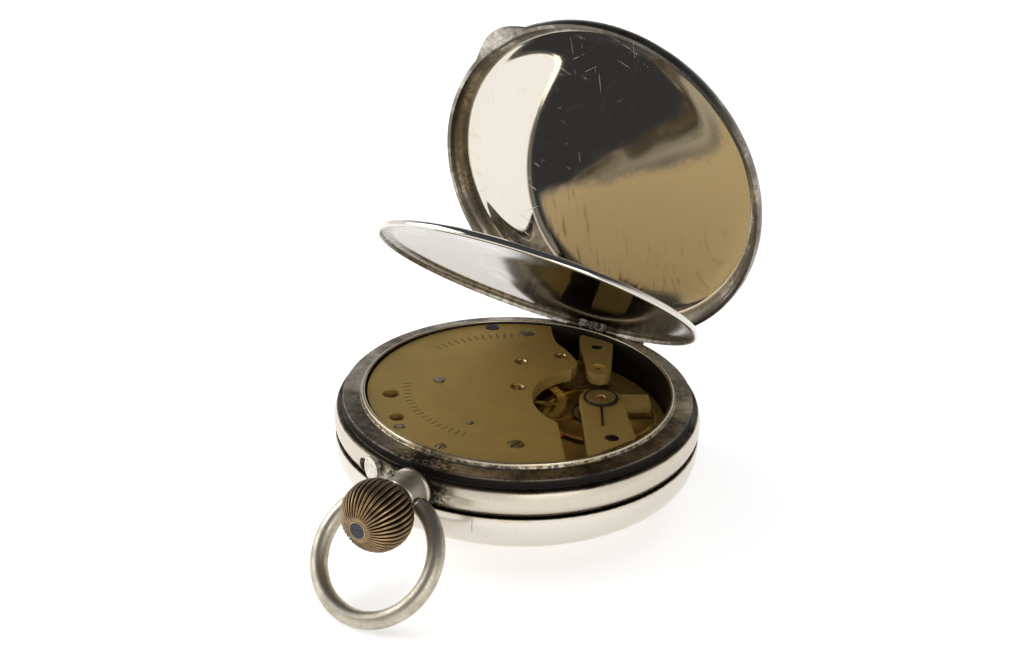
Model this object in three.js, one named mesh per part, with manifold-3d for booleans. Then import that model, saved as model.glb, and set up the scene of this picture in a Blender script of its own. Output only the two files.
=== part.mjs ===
// A silver hunter pocket watch lying on its front lid, with the back cover and the
// inner cover (cuvette) open over a gilt three-quarter-plate lever movement.
// Millimetres, +Z up. The origin is the centre of the front lid's flat rest face.
// The pendant and crown point to -Y, and all three lids hinge on the +Y side.
import * as THREE from 'three';
import { mergeVertices } from 'three/addons/utils/BufferGeometryUtils.js';
import Module from 'manifold-3d';

const wasm = await Module();
wasm.setup();

// ---- Driving dimensions ------------------------------------------------------------

const RUN = 0.08; // running clearance between pieces that turn or slide
const FIT = 0.05; // clearance between pieces that only seat on each other

// Heights of the case above the rest face, from the front lid up to the movement's rim.
const lidDepth = 10.05;
const bandHeight = 3.65;
const ringHeight = 1.3;
const rimHeight = 0.7;
const splitZ = lidDepth; // line between front lid and band
const shoulderZ = splitZ + bandHeight; // step that the back cover closes on
const ringZ = shoulderZ + ringHeight; // flat ring that the cuvette closes on
const seatRimZ = ringZ + rimHeight; // raised rim around the movement

// Radii of the case, from the band inwards.
const bandR = 25.0;
const shoulderWidth = 1.2;
const ringWidth = 2.4;
const rimWidth = 0.6;
const ringR = bandR - shoulderWidth;
const seatRimR = ringR - ringWidth;
const boreR = seatRimR - rimWidth; // opening that shows the movement
const flangeStep = 0.8;
const flangeBoreR = boreR + flangeStep; // wider bore on the dial side
const bezelSeatR = bandR - 1.7;
const lidWall = 0.5;
const cuvetteWall = 0.4;
const restDiscR = 11.0;
const caseSegments = 40;

// Lids and how far each stands open.
const backCoverAngle = 78.4;
const backHinge = { y: bandR - 0.31, z: shoulderZ - 0.07, knuckleR: 0.7, pinR: 0.3, half: 7.0, leaf: 2.3 };
const cuvetteAngle = 36.4;
const cuvetteHinge = { y: ringR - 1.54, z: ringZ + 0.475, knuckleR: 0.42, pinR: 0.18, half: 4.9, leaf: 2.25 };
const lidHinge = { y: bandR - 0.2, z: splitZ, knuckleR: 0.6, pinR: 0.28, half: 6.0, leaf: 1.9 };
const thumbLipAngle = -34; // thumb lip on the back cover, from the pendant
const thumbLipReach = 1.4;

// The movement's own heights are measured from a datum plane this far below the split.
const datumDrop = 10.05;
const datumZ = splitZ - datumDrop;

// Pendant, bow, crown and stem, along the -Y axis at the stem's height.
const stemHeight = 12.3; // above the movement's datum
const stemZ = datumZ + stemHeight;
const stemR = 0.55;
const sleeveR = stemR + 0.3;
const spigotR = sleeveR + 0.4;
const spigotEndY = -(boreR + 0.95);
const neckR = 2.5;
const collarR = neckR + 0.2;
const collarY = -(bandR + 0.15);
const neckEndY = collarY - 3.45;
const bowPivotY = neckEndY + 0.8;
const bowPinR = 0.6;
const bowTilt = 47.2; // the bow hangs down until it rests on the table
const bowRingR = 7.8;
const bowOffset = 7.42; // pivot to ring centre
const bowWireR = 1.1;
const crownY = neckEndY - 3.9;
const crownR = 4.45;
const crownRibs = 38;

// Catch of the front lid, pushed by the crown's sleeve.
const catchHalf = 1.2;
const catchY = -(bandR - 1.8);
const catchTopZ = splitZ - 0.05;

// Setting pin beside the pendant.
const settingAngle = -20.5;
const settingZ = splitZ + 1.55;
const settingHeadR = 1.0;
const settingPinR = 0.5;

// Movement heights above the datum.
const mainPlate = { z0: 8.5, flangeTop: 10.1, z1: 10.5, r: boreR - 0.3, flangeR: flangeBoreR - 0.1 };
const topPlate = { z0: 13.4, z1: 15.3, r: boreR - 0.3 };
const dial = { z0: 6.5, z1: 7.2, r: boreR + 0.1 };
const arborSpan = [10.6, 13.3]; // thick part of each train arbor, between the plates
const levels = {
  ratchet: [10.65, 11.05],
  crownFace: [11.0, 11.5],
  barrelTeeth: [11.7, 12.1],
  barrelDrum: [12.0, 12.9],
  barrelCover: [12.7, 12.88],
  mainspring: [12.2, 12.6],
  centreWheel: [13.0, 13.25],
  centrePinion: [11.5, 12.3],
  thirdWheel: [11.2, 11.42],
  thirdPinion: [12.75, 13.3],
  fourthWheel: [12.3, 12.5],
  fourthPinion: [11.0, 11.7],
  escapeWheel: [11.2, 11.4],
  escapePinion: [12.05, 12.75],
  lever: [11.15, 11.45],
  roller: [11.55, 11.8],
  hairspring: [12.95, 13.2],
  cannonPinion: [7.85, 8.4],
  minuteWheel: [8.0, 8.25],
  minutePinion: [7.35, 8.1],
  hourWheel: [7.4, 7.65],
  minuteHand: [5.15, 5.35],
  hourHand: [5.65, 5.85],
  secondsHand: [6.2, 6.3],
};

// Where each arbor stands, seen from the back.
const centre = [0, 0];
const barrelAt = [-10.08, -4.32];
const thirdAt = [-3.56, 6.88];
const fourthAt = [0.34, 11.59];
const escapeAt = [6.13, 11.95];
const balanceAt = [11.06, 3.28];
const crownWheelAt = [0, -12.2];
const minuteWheelAt = [-2.4, -2.4];
const palletReach = 3.3; // escape arbor to pallet staff

// Tooth counts of the train: the centre turns once an hour, the fourth once a minute.
const teeth = {
  barrel: 72,
  centrePinion: 12,
  centre: 64,
  thirdPinion: 8,
  third: 60,
  fourthPinion: 8,
  fourth: 60,
  escapePinion: 6,
  escape: 15,
  ratchet: 48,
  crownWheel: 32,
  crownFace: 30,
  windingPinion: 6,
  cannon: 12,
  minute: 36,
  minutePinion: 10,
  hour: 40,
};

// Balance, hairspring and their cock.
const balance = { rimR: 7.7, rimWall: 0.7, z0: 12.05, z1: 12.8, screwReach: 0.35, screws: 12 };
const hairspringR = 4.2;
const cockZ = [13.5, 15.2];
const cockHeadR = 2.85;
const escapeCockZ = [13.45, 15.0];

// Bores and pipes of the small arbors.
const jewelR = 0.28;
const pivotR = 0.18;
const centreArborR = 0.42;
const barrelArborR = 1.0;
const cannonOuterR = 0.62;
const hourPipeR = 0.85;

// ---- Colours -----------------------------------------------------------------------

const silver = [0xcfcbc0, 0.28, 1.0];
const nickel = [0xa9a597, 0.4, 1.0];
const steel = [0x8d9096, 0.3, 1.0];
const blueSteel = [0x2b3350, 0.3, 1.0];
const gilt = [0xa8925a, 0.45, 1.0];
const brass = [0xb08a4a, 0.35, 1.0];
const copper = [0xa2603c, 0.4, 1.0];
const crownBrass = [0x7d6238, 0.45, 1.0];
const darkSteel = [0x3a3c42, 0.4, 1.0];
const enamel = [0xf1efe8, 0.2, 0.0];
const glass = [0xe8f0f0, 0.05, 0.0];

// ---- Shape helpers -----------------------------------------------------------------

const radians = THREE.MathUtils.degToRad;

// Turns a closed three.js geometry into a solid, without the slivers left at a pole.
function solidOf(geometry) {
  const bare = geometry.index ? geometry.toNonIndexed() : geometry.clone();
  for (const name of ['normal', 'uv']) bare.deleteAttribute(name);
  const merged = mergeVertices(bare, 1e-5);
  const corners = merged.index.array;
  const kept = [];
  for (let i = 0; i < corners.length; i += 3) {
    const [a, b, c] = [corners[i], corners[i + 1], corners[i + 2]];
    if (a !== b && b !== c && c !== a) kept.push(a, b, c);
  }
  const vertProperties = new Float32Array(merged.attributes.position.array);
  const triVerts = new Uint32Array(kept);
  return new wasm.Manifold(new wasm.Mesh({ numProp: 3, vertProperties, triVerts }));
}

function geometryOf(solid) {
  const { numProp, vertProperties, triVerts } = solid.getMesh();
  const geometry = new THREE.BufferGeometry();
  const position = [];
  for (let i = 0; i < vertProperties.length; i += numProp) {
    position.push(vertProperties[i], vertProperties[i + 1], vertProperties[i + 2]);
  }
  geometry.setAttribute('position', new THREE.Float32BufferAttribute(position, 3));
  geometry.setIndex(Array.from(triVerts));
  geometry.computeVertexNormals();
  return geometry;
}

const join = (...solids) => solids.reduce((whole, next) => whole.add(next));
const cut = (body, ...tools) => tools.reduce((left, tool) => left.subtract(tool), body);

// A turned piece: the profile is a list of [radius, height], closed by itself when it
// doesn't start and end on the axis.
function turned(profile, segments = 32) {
  const area = profile.reduce((sum, [r, z], i) => {
    const [nextR, nextZ] = profile[(i + 1) % profile.length];
    return sum + r * nextZ - nextR * z;
  }, 0);
  const points = (area > 0 ? profile : [...profile].reverse()).map(([r, z]) => new THREE.Vector2(r, z));
  const onAxis = points[0].x === 0 && points[points.length - 1].x === 0;
  if (!onAxis) points.push(points[0].clone());
  return solidOf(new THREE.LatheGeometry(points, segments).rotateX(Math.PI / 2));
}

// A profile written as [inset from the band's radius, height above a level].
const inset = (profile, level) => profile.map(([depth, height]) => [bandR - depth, level + height]);

const disc = (r, z0, z1, segments = 32) => turned([[0, z0], [r, z0], [r, z1], [0, z1]], segments);
const ring = (r, bore, z0, z1, segments = 32) =>
  turned([[bore, z0], [r, z0], [r, z1], [bore, z1]], segments);
const at = ([x, y], solid) => solid.translate([x, y, 0]);

function box([x0, x1], [y0, y1], [z0, z1]) {
  const geometry = new THREE.BoxGeometry(x1 - x0, y1 - y0, z1 - z0);
  return solidOf(geometry.translate((x0 + x1) / 2, (y0 + y1) / 2, (z0 + z1) / 2));
}

// A round rod along X between x0 and x1, or the same rod turned to lie along Y.
function rodX(r, x0, x1, y, z, segments = 16) {
  return disc(r, x0, x1, segments).rotate([0, 90, 0]).translate([0, y, z]);
}

function turnedAlongY(profile, segments) {
  return turned(profile.map(([r, y]) => [r, -y]), segments).rotate([90, 0, 0]).translate([0, 0, stemZ]);
}

// A flat piece cut from sheet, with a closed outline of [x, y] corners.
function sheet(outline, z0, z1) {
  const shape = new THREE.Shape(outline.map(([x, y]) => new THREE.Vector2(x, y)));
  const geometry = new THREE.ExtrudeGeometry(shape, { depth: z1 - z0, bevelEnabled: false });
  return solidOf(geometry.translate(0, 0, z0));
}

const polar = (r, degrees, [x, y] = [0, 0]) => [
  x + r * Math.cos(radians(degrees)),
  y + r * Math.sin(radians(degrees)),
];

function arc(r, from, to, steps, middle) {
  return Array.from({ length: steps + 1 }, (_, i) => polar(r, from + ((to - from) * i) / steps, middle));
}

const distance = (a, b) => Math.hypot(a[0] - b[0], a[1] - b[1]);
const bearing = (a, b) => THREE.MathUtils.radToDeg(Math.atan2(b[1] - a[1], b[0] - a[0]));

// The outline of a toothed wheel with pointed teeth, one of them on the given bearing.
function toothed(count, pitchR, towards) {
  const pitch = (2 * Math.PI * pitchR) / count;
  const tipR = pitchR + 0.2 * pitch;
  const rootR = pitchR - 0.42 * pitch;
  const step = 360 / count;
  const outline = [];
  for (let i = 0; i < count; i += 1) {
    outline.push(polar(rootR, towards + (i - 0.5) * step), polar(tipR, towards + i * step));
  }
  return outline;
}

// Pitch radii of two wheels that mesh between two arbors.
function meshRadii(from, to, fromTeeth, toTeeth) {
  const span = distance(from, to);
  return [(span * fromTeeth) / (fromTeeth + toTeeth), (span * toTeeth) / (fromTeeth + toTeeth)];
}

// A tooth of the driver meets a gap of the driven wheel on the line between them.
const gapBearing = (own, other, count) => bearing(own, other) + 180 / count;

// ---- Scene -------------------------------------------------------------------------

const watch = new THREE.Group();
const movement = new THREE.Group();
movement.position.z = datumZ;
watch.add(movement);

function place(group, name, solid, [color, roughness, metalness]) {
  const material = new THREE.MeshStandardMaterial({ color, roughness, metalness });
  const mesh = new THREE.Mesh(geometryOf(solid), material);
  mesh.name = name;
  group.add(mesh);
}

// A lid's group turns about its hinge line, so its solids are written closed.
function openedLid(hinge, degrees) {
  const pivot = new THREE.Group();
  pivot.position.set(0, hinge.y, hinge.z);
  pivot.rotation.x = -radians(degrees);
  const closed = new THREE.Group();
  closed.position.set(0, -hinge.y, -hinge.z);
  pivot.add(closed);
  watch.add(pivot);
  return closed;
}

// ---- Hinges ------------------------------------------------------------------------

// The fixed knuckles are on the case, one each side of the lid's own knuckle.
function fixedKnuckles({ y, z, knuckleR, half, leaf }, extra = 0, grow = 0) {
  return join(
    rodX(knuckleR + extra, -half - grow, -leaf - RUN + grow, y, z),
    rodX(knuckleR + extra, leaf + RUN - grow, half + grow, y, z),
  );
}

const lidKnuckle = ({ y, z, knuckleR, leaf }, extra = 0, grow = 0) =>
  rodX(knuckleR + extra, -leaf - grow, leaf + grow, y, z);

const pinBore = ({ y, z, pinR, half }) => rodX(pinR + RUN / 2, -half - 1, half + 1, y, z, 12);
const hingePin = ({ y, z, pinR, half }) => rodX(pinR, -half + 0.1, half - 0.1, y, z, 12);

// ---- Case --------------------------------------------------------------------------

function caseCentre() {
  const lowerZ = datumZ + mainPlate.z0 - 0.6;
  const ledgeZ = datumZ + mainPlate.flangeTop + FIT;
  const band = turned([
    [bandR - 0.5, splitZ + FIT],
    [bandR, splitZ + 0.33 * bandHeight],
    [bandR, splitZ + 0.66 * bandHeight],
    [bandR - 0.4, shoulderZ],
    [ringR, shoulderZ],
    [ringR, ringZ],
    [seatRimR, ringZ],
    [seatRimR - 0.15, seatRimZ],
    [boreR, seatRimZ],
    [boreR, ledgeZ],
    [flangeBoreR, ledgeZ],
    [flangeBoreR, lowerZ],
    [bezelSeatR, lowerZ],
    [bezelSeatR, splitZ + FIT],
  ], caseSegments);
  const body = join(
    cut(band, ...[backHinge, lidHinge].map((hinge) => lidKnuckle(hinge, RUN, RUN / 2))),
    ...[backHinge, cuvetteHinge, lidHinge].map((hinge) => fixedKnuckles(hinge)),
    knuckleFoot([cuvetteHinge.leaf + RUN, cuvetteHinge.half]),
    knuckleFoot([-cuvetteHinge.half, -cuvetteHinge.leaf - RUN]),
  );
  const catchSlot = box([-catchHalf - 0.15, catchHalf + 0.15], [catchY - 1.0, catchY + 2.2],
    [lowerZ - 1, catchTopZ + RUN]);
  return cut(body, ...[backHinge, cuvetteHinge, lidHinge].map(pinBore), stemBore(), settingBore(), catchSlot);
}

// The cuvette's fixed knuckles stand on small feet on the flat ring.
const knuckleFoot = (along) =>
  box(along, [cuvetteHinge.y - 0.4, cuvetteHinge.y + 0.4], [ringZ - 0.2, cuvetteHinge.z]);

// The bore from outside: wide for the pendant's spigot, then narrower for the sleeve.
function stemBore() {
  const shoulderY = spigotEndY + FIT;
  return turnedAlongY([[0, -bandR - 1], [spigotR + FIT, -bandR - 1], [spigotR + FIT, shoulderY],
    [sleeveR + RUN, shoulderY], [sleeveR + RUN, -boreR + 1.8], [0, -boreR + 1.8]], 24);
}

function settingBore() {
  const head = settingPiece(settingHeadR + RUN, bandR - 1.1, bandR + 1);
  return head.add(settingPiece(settingPinR + RUN, boreR - 0.8, bandR - 1));
}

// A piece on the setting pin's line, measured outwards from the watch's centre.
function settingPiece(r, from, to) {
  const upright = disc(r, from, to, 16);
  return upright.rotate([90, 0, 0]).rotate([0, 0, settingAngle]).translate([0, 0, settingZ]);
}

// Joins a lid's own knuckle to its shell and clears the fixed ones.
function hingedShell(shell, hinge) {
  const cleared = cut(shell, fixedKnuckles(hinge, RUN, RUN));
  return cut(join(cleared, lidKnuckle(hinge)), pinBore(hinge));
}

function backCover() {
  const rim = shoulderZ + 0.12;
  const outer = inset([[0.45, 0], [0.2, 0.75], [1.0, 2.5], [2.5, 3.3], [6.0, 3.85], [14.0, 4.25]], rim);
  const inner = inset([[6.0, 3.85 - lidWall], [2.8, 2.8], [1.5, 2.0], [0.9, 1.2], [0.95, 0]], rim);
  const crownTop = rim + 4.35;
  const shell = turned([...outer, [0, crownTop], [0, crownTop - lidWall], ...inner], caseSegments);
  const lip = thumbLip(rim + 0.15, rim + 0.75);
  return hingedShell(join(shell, lip), backHinge);
}

// A tongue whose reach swells in the middle of its arc.
function thumbLip(z0, z1) {
  const root = bandR - 0.7;
  const reach = (angle) => root + (thumbLipReach + 0.5) * Math.cos(radians(angle * 5.3)) ** 2;
  const outer = Array.from({ length: 13 }, (_, i) => (i - 6) * 2.8).map((a) => polar(reach(a), a));
  return sheet([...outer, ...arc(root - 0.1, 16.8, -16.8, 6)], z0, z1).rotate([0, 0, thumbLipAngle - 90]);
}

function cuvette() {
  const rim = ringZ + FIT;
  const shell = turned([
    [ringR - 1.6, rim],
    [ringR - 1.1, rim],
    [ringR - 1.1, rim + 0.6],
    [ringR - 1.5, rim + 0.95],
    [ringR - 3.8, rim + 1.3],
    [11, rim + 1.78],
    [0, rim + 1.95],
    [0, rim + 1.95 - cuvetteWall],
    [ringR - 3.8, rim + 1.3 - cuvetteWall],
    [ringR - 1.7, rim + 0.55],
  ], caseSegments);
  const hinge = cuvetteHinge;
  const edge = hinge.y - hinge.knuckleR - RUN;
  const opening = box([-hinge.half - RUN, hinge.half + RUN], [edge, ringR + 0.2], [rim - 1, rim + 3]);
  const leaf = box([-hinge.leaf, hinge.leaf], [edge - 0.26, hinge.y], [hinge.z - 0.1, rim + 0.95]);
  return cut(join(cut(shell, opening), leaf, lidKnuckle(hinge)), pinBore(hinge));
}

function frontLid() {
  const outer = inset([[0.1, -FIT], [0, -1.4], [0.25, -3.1], [1.0, -4.4], [2.4, -5.5], [4.2, -6.55],
    [9.0, -8.65]], splitZ);
  const inner = inset([[9.25, -8.65 + lidWall], [4.5, -6.55 + lidWall], [2.8, -5.5 + lidWall],
    [1.5, -4.4 + lidWall], [0.8, -3.1], [0.6, -1.4], [0.6, -FIT]], splitZ);
  const flat = [[restDiscR, 0], [0, 0], [0, lidWall], [restDiscR - 0.1, lidWall]];
  return hingedShell(turned([...outer, ...flat, ...inner], caseSegments), lidHinge);
}

function bezel() {
  const top = datumZ + dial.z0 - 1.0;
  const glassSeatR = boreR + 0.17;
  return turned([
    [boreR, top - 0.7],
    [boreR + 0.6, top - 0.7],
    [bezelSeatR, top + 0.9],
    [bandR - 0.95, top + 2.4],
    [bandR - 0.95, top + 3.2],
    [bezelSeatR + 0.2, top + 3.2],
    [bezelSeatR + 0.2, top + 2.35],
    [boreR + 0.3, top + 2.2],
    [boreR + 0.3, top + 0.7],
    [boreR - 0.5, top + 0.3],
    [boreR - 0.5, top],
    [glassSeatR, top],
    [glassSeatR, top - 0.6],
    [boreR, top - 0.6],
  ], caseSegments);
}

// A domed glass: both faces rise with the square of the radius.
function crystal() {
  const r = boreR + 0.1;
  const edge = datumZ + dial.z0 - 1.0 - FIT;
  const steps = [0, 10, 16, r];
  const outer = steps.map((at) => [at, edge - 2.6 + 2.25 * (at / r) ** 2]);
  const inner = steps.map((at) => [at, edge - 1.6 + 1.6 * (at / r) ** 2]);
  return turned([...outer, ...inner.reverse()], caseSegments);
}

// ---- Pendant, bow, crown -----------------------------------------------------------

function pendant() {
  const sleeveBoreR = sleeveR + RUN;
  const body = turnedAlongY([
    [sleeveBoreR, spigotEndY],
    [spigotR, spigotEndY],
    [spigotR, collarY],
    [collarR, collarY],
    [collarR, collarY - 0.3],
    [neckR, collarY - 0.65],
    [neckR, neckEndY + 0.3],
    [neckR - 0.2, neckEndY],
    [sleeveBoreR, neckEndY],
  ], 24);
  return cut(body, rodX(bowPinR + RUN, -neckR - 1.5, neckR + 1.5, bowPivotY, stemZ, 12));
}

// Wire bent round a ring, cut off beside the neck, with a pivot pin inside each end.
function bow() {
  const wire = new THREE.Shape(arc(bowWireR, 0, 315, 7).map(([x, y]) => new THREE.Vector2(x, y)));
  const endAngle = THREE.MathUtils.radToDeg(Math.asin(1.2 / bowRingR));
  const along = arc(bowRingR, 90 + endAngle, 450 - endAngle, 30).map(([x, y]) => new THREE.Vector3(x, y, 0));
  const extrudePath = new THREE.CatmullRomCurve3(along);
  const bent = solidOf(new THREE.ExtrudeGeometry(wire, { steps: 30, bevelEnabled: false, extrudePath }));
  const loop = bent.translate([0, -bowOffset, 0]);
  const gap = neckR + 0.12;
  const trimmed = cut(loop, box([-gap, gap], [-4, 4], [-4, 4]));
  const pins = [-1, 1].map((side) => {
    const ends = [side * (neckR - 1.0), side * (neckR + 0.7)].sort((a, b) => a - b);
    return rodX(bowPinR, ...ends, 0, 0, 12);
  });
  return join(trimmed, ...pins).rotate([bowTilt, 0, 0]).translate([0, bowPivotY, stemZ]);
}

// A hollow ball, open towards the neck, with a ridge for every second line of its turned
// shape and a seat for the cap in its end.
function crown() {
  const squareR = stemR + 0.15;
  const profile = [[squareR, 3.05], [2.2, 3.05], [crownR - 0.75, 2.3], [crownR, 0.2], [crownR - 0.35, -1.7],
    [crownR - 1.45, -3.15], [1.5, -3.95], [0, -3.95]];
  const points = [[0, 1.2], [squareR, 1.2], ...profile].map(([r, y]) => new THREE.Vector2(r, -y));
  const geometry = new THREE.LatheGeometry(points, crownRibs * 2);
  const position = geometry.attributes.position;
  for (let i = 0; i < position.count; i += 1) {
    const [x, z] = [position.getX(i), position.getZ(i)];
    const r = Math.hypot(x, z);
    const column = Math.round((Math.atan2(x, z) / Math.PI) * crownRibs);
    const depth = r > 2.3 && column % 2 !== 0 ? 0.22 : 0;
    if (r > 0) position.setXYZ(i, (x * (r - depth)) / r, position.getY(i), (z * (r - depth)) / r);
  }
  const body = solidOf(geometry).rotate([180, 0, 0]).translate([0, crownY, stemZ]);
  return cut(body, turnedAlongY([[0, crownY - 5], [1.25, crownY - 5], [1.25, crownY - 3.7],
    [0, crownY - 3.7]], 24));
}

const crownCap = () => turnedAlongY([[0, crownY - 3.75], [1.2, crownY - 3.75], [1.2, crownY - 4.0],
  [0, crownY - 4.05]], 24);

const stemEndY = crownWheelAt[1] - 3.0;

// The stem fills the crown's square, then narrows inside the neck.
function windingStem() {
  const squareR = stemR + 0.1;
  const stepY = neckEndY + 0.6;
  return turnedAlongY([[0, crownY + 1.25], [squareR, crownY + 1.25], [squareR, stepY], [stemR, stepY],
    [stemR, stemEndY], [0, stemEndY]], 16);
}

function windingPinion() {
  const rootR = (stemR + 0.05) / Math.cos(radians(180 / teeth.windingPinion));
  const outline = spokes(teeth.windingPinion, rootR, stemHeight - levels.crownFace[1] + 0.2, 0.22, 90);
  const body = sheet(outline, stemEndY - 2.5, stemEndY - 0.9).rotate([-90, 0, 0]);
  return cut(body.translate([0, 0, stemZ]), turnedAlongY([[0, stemEndY - 4], [stemR + 0.02, stemEndY - 4],
    [stemR + 0.02, stemEndY + 1], [0, stemEndY + 1]], 16));
}

// Straight-sided teeth of one width, like the leaves of a winding pinion.
function spokes(count, rootR, tipR, width, towards) {
  const outline = [];
  for (let i = 0; i < count; i += 1) {
    const middle = towards + (i * 360) / count;
    const spread = (r) => THREE.MathUtils.radToDeg(width / 2 / r);
    outline.push(polar(rootR, middle - spread(rootR)), polar(tipR, middle - spread(tipR)));
    outline.push(polar(tipR, middle + spread(tipR)), polar(rootR, middle + spread(rootR)));
  }
  return outline;
}

// The tube that the crown pushes in against the lid catch.
function stemSleeve() {
  const innerR = stemR + 0.2;
  const [outerEnd, innerEnd] = [neckEndY - 0.65, spigotEndY - 0.15];
  return turnedAlongY([[innerR, outerEnd], [sleeveR, outerEnd], [sleeveR, innerEnd], [innerR, innerEnd]], 20);
}

// A spring block whose nose holds the front lid's rim.
function lidCatch() {
  const across = [-catchHalf, catchHalf];
  const block = box(across, [catchY, catchY + 0.9], [splitZ - 1.15, catchTopZ]);
  const nose = box(across, [catchY - 0.9, catchY + 0.1], [splitZ - 1.05, splitZ - 0.55]);
  return join(block, nose);
}

// A rounded boss on the band that keeps the setting pin from being pressed by chance.
function settingGuard() {
  const profile = arc(1.7, 0, 360, 20).slice(0, 20).map(([x, y]) => [x * 0.75, y]);
  const guard = sheet(profile, bandR - 1.0, bandR + 0.7).rotate([90, 0, 0]).rotate([0, 0, -15]);
  return cut(guard.translate([0, 0, stemZ + 0.2]), disc(bandR + FIT, 0, 2 * stemZ, caseSegments * 2),
    settingPiece(settingHeadR + RUN, bandR - 3, bandR + 2));
}

// ---- Movement ----------------------------------------------------------------------

const pillarAt = [[-7.66, 15.61], [7.79, -13.64], [-17.3, 7.2]];
const plateScrewAt = pillarAt.slice(0, 2);
const smallScrewAt = [[-7.05, -17.98], [0.17, -19.21]];
const caseScrewAt = polar(topPlate.r - 1.1, 131.9);
const cockScrewAt = [17.16, -5.4];
const escapeScrewAt = [2.98, 17.72];

// Screw sizes: head radius, shank radius, and how far the head is sunk and stands.
const screws = {
  plate: { headR: 1.1, shankR: 0.45, sunk: 0.55, proud: 0, foot: 12.2, surface: topPlate.z1 },
  small: { headR: 0.7, shankR: 0.35, sunk: 0.35, proud: -0.02, foot: 14.93, surface: topPlate.z1 },
  dog: { headR: 1.0, shankR: 0.4, sunk: 0.35, proud: 0.1, foot: 14.93, surface: topPlate.z1 },
  cock: { headR: 0.9, shankR: 0.45, sunk: 0.4, proud: 0, foot: 9.7, surface: cockZ[1] },
  escapeCock: { headR: 0.8, shankR: 0.35, sunk: 0.35, proud: 0, foot: 9.7, surface: escapeCockZ[1] },
};

const hole = (point, r, z0 = 0, z1 = 20) => at(point, disc(r, z0, z1, r < 0.5 ? 8 : 14));

// The clear hole for a shank and the seat that its head is sunk in.
function screwSeat(point, { headR, shankR, sunk, foot, surface }) {
  return hole(point, shankR + FIT, foot - 0.2).add(hole(point, headR + FIT, surface - sunk - FIT));
}

const headSeat = (point, { headR, sunk, surface }) => hole(point, headR + FIT, surface - sunk - FIT);

function mainPlateSolid() {
  const { z0, flangeTop, z1, r, flangeR } = mainPlate;
  const plate = turned([[0, z0], [flangeR, z0], [flangeR, flangeTop], [r, flangeTop], [r, z1], [0, z1]],
    caseSegments);
  const pillars = pillarAt.map((point) => at(point, disc(1.25, z1 - 0.2, topPlate.z0 - FIT, 16)));
  const bores = [
    hole(centre, 0.75),
    hole(fourthAt, 0.4),
    ...[balanceAt, thirdAt, escapeAt, palletAt].map((point) => hole(point, jewelR)),
    hole(barrelAt, barrelArborR - 0.2 + RUN),
    hole(crownWheelAt, crownStudR + FIT),
    ...plateScrewAt.map((point) => screwSeat(point, screws.plate)),
    screwSeat(cockScrewAt, screws.cock),
    screwSeat(escapeScrewAt, screws.escapeCock),
  ];
  return cut(join(plate, ...pillars), ...bores);
}

// The back plate covers three quarters of the movement. Its open quarter follows the
// balance, runs past the fourth arbor and leaves room for the escape cock.
function threeQuarterPlate() {
  const { r, z0, z1 } = topPlate;
  const rim = arc(r, 106.6, 317.3, 32);
  const edge = arc(balance.rimR + 1.6, 260, 144, 12, balanceAt);
  const shoulder = [[3.3, 11.1], [1.7, 12.5], [-0.3, 13.9], [-2.3, 15.1], [-4.1, 17.1]];
  const plate = sheet([...rim, ...edge, ...shoulder], z0, z1);
  return cut(
    plate,
    hole(centre, centreArborR + RUN),
    hole(thirdAt, pivotR + 0.07),
    hole(fourthAt, pivotR + 0.07),
    hole(barrelAt, barrelPivotR + RUN),
    hole(crownWheelAt, crownStudR + FIT),
    hole([-13.26, -11.18], 1.15),
    hole([-8.79, -16.09], 1.0),
    headSeat(caseScrewAt, screws.dog),
    ...plateScrewAt.map((point) => screwSeat(point, screws.plate)),
    ...smallScrewAt.map((point) => headSeat(point, screws.small)),
  );
}

// A cheese-head screw with a slot.
function screw(point, { headR, shankR, sunk, proud, foot, surface }, slotBearing) {
  const [headZ, topZ] = [surface - sunk, surface + proud];
  const body = turned([[0, foot], [shankR, foot], [shankR, headZ], [headR, headZ], [headR, topZ],
    [0, topZ]], 12);
  const slot = box([-headR * 1.2, headR * 1.2], [-headR * 0.14, headR * 0.14], [topZ - 0.22, topZ + 1]);
  return at(point, cut(body, slot.rotate([0, 0, slotBearing])));
}

// The foot of the arm stands on the main plate, beyond the balance's sweep.
function balanceCock() {
  const [z0, z1] = cockZ;
  const arm = [[17.0, -11.3], [19.9, -4.0], [13.3, 5.0], [8.9, 1.6]];
  const insideBore = disc(mainPlate.r - 0.1, 0, 20, caseSegments);
  const trimmed = sheet(arm, mainPlate.z1 + FIT, z1).intersect(insideBore);
  const relief = at(balanceAt, disc(balance.rimR + 1.3, 0, z0, 40));
  const studArm = sheet([[11.5, 4.9], [12.9, 6.6], [15.67, 8.38], [17.26, 5.97], [14.1, 3.9], [12.6, 3.2]],
    z0 + 0.2, z1 - 0.3);
  const head = at(balanceAt, disc(cockHeadR, z0, z1, 32));
  return cut(join(cut(trimmed, relief), head, studArm), hole(balanceAt, jewelR, 0, z1 - 0.6),
    screwSeat(cockScrewAt, screws.cock));
}

// A disc on the cock's head with a tail that points towards the cock's screw.
function regulator() {
  const seat = cockZ[1] + FIT;
  const body = at(balanceAt, disc(2.4, seat, seat + 0.25, 32));
  const aim = bearing(balanceAt, cockScrewAt) - 6;
  const tail = [polar(2.0, aim - 12, balanceAt), polar(7.6, aim - 1.2, balanceAt),
    polar(7.6, aim + 1.2, balanceAt), polar(2.0, aim + 12, balanceAt)];
  return join(body, sheet(tail, seat, seat + 0.2));
}

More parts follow.
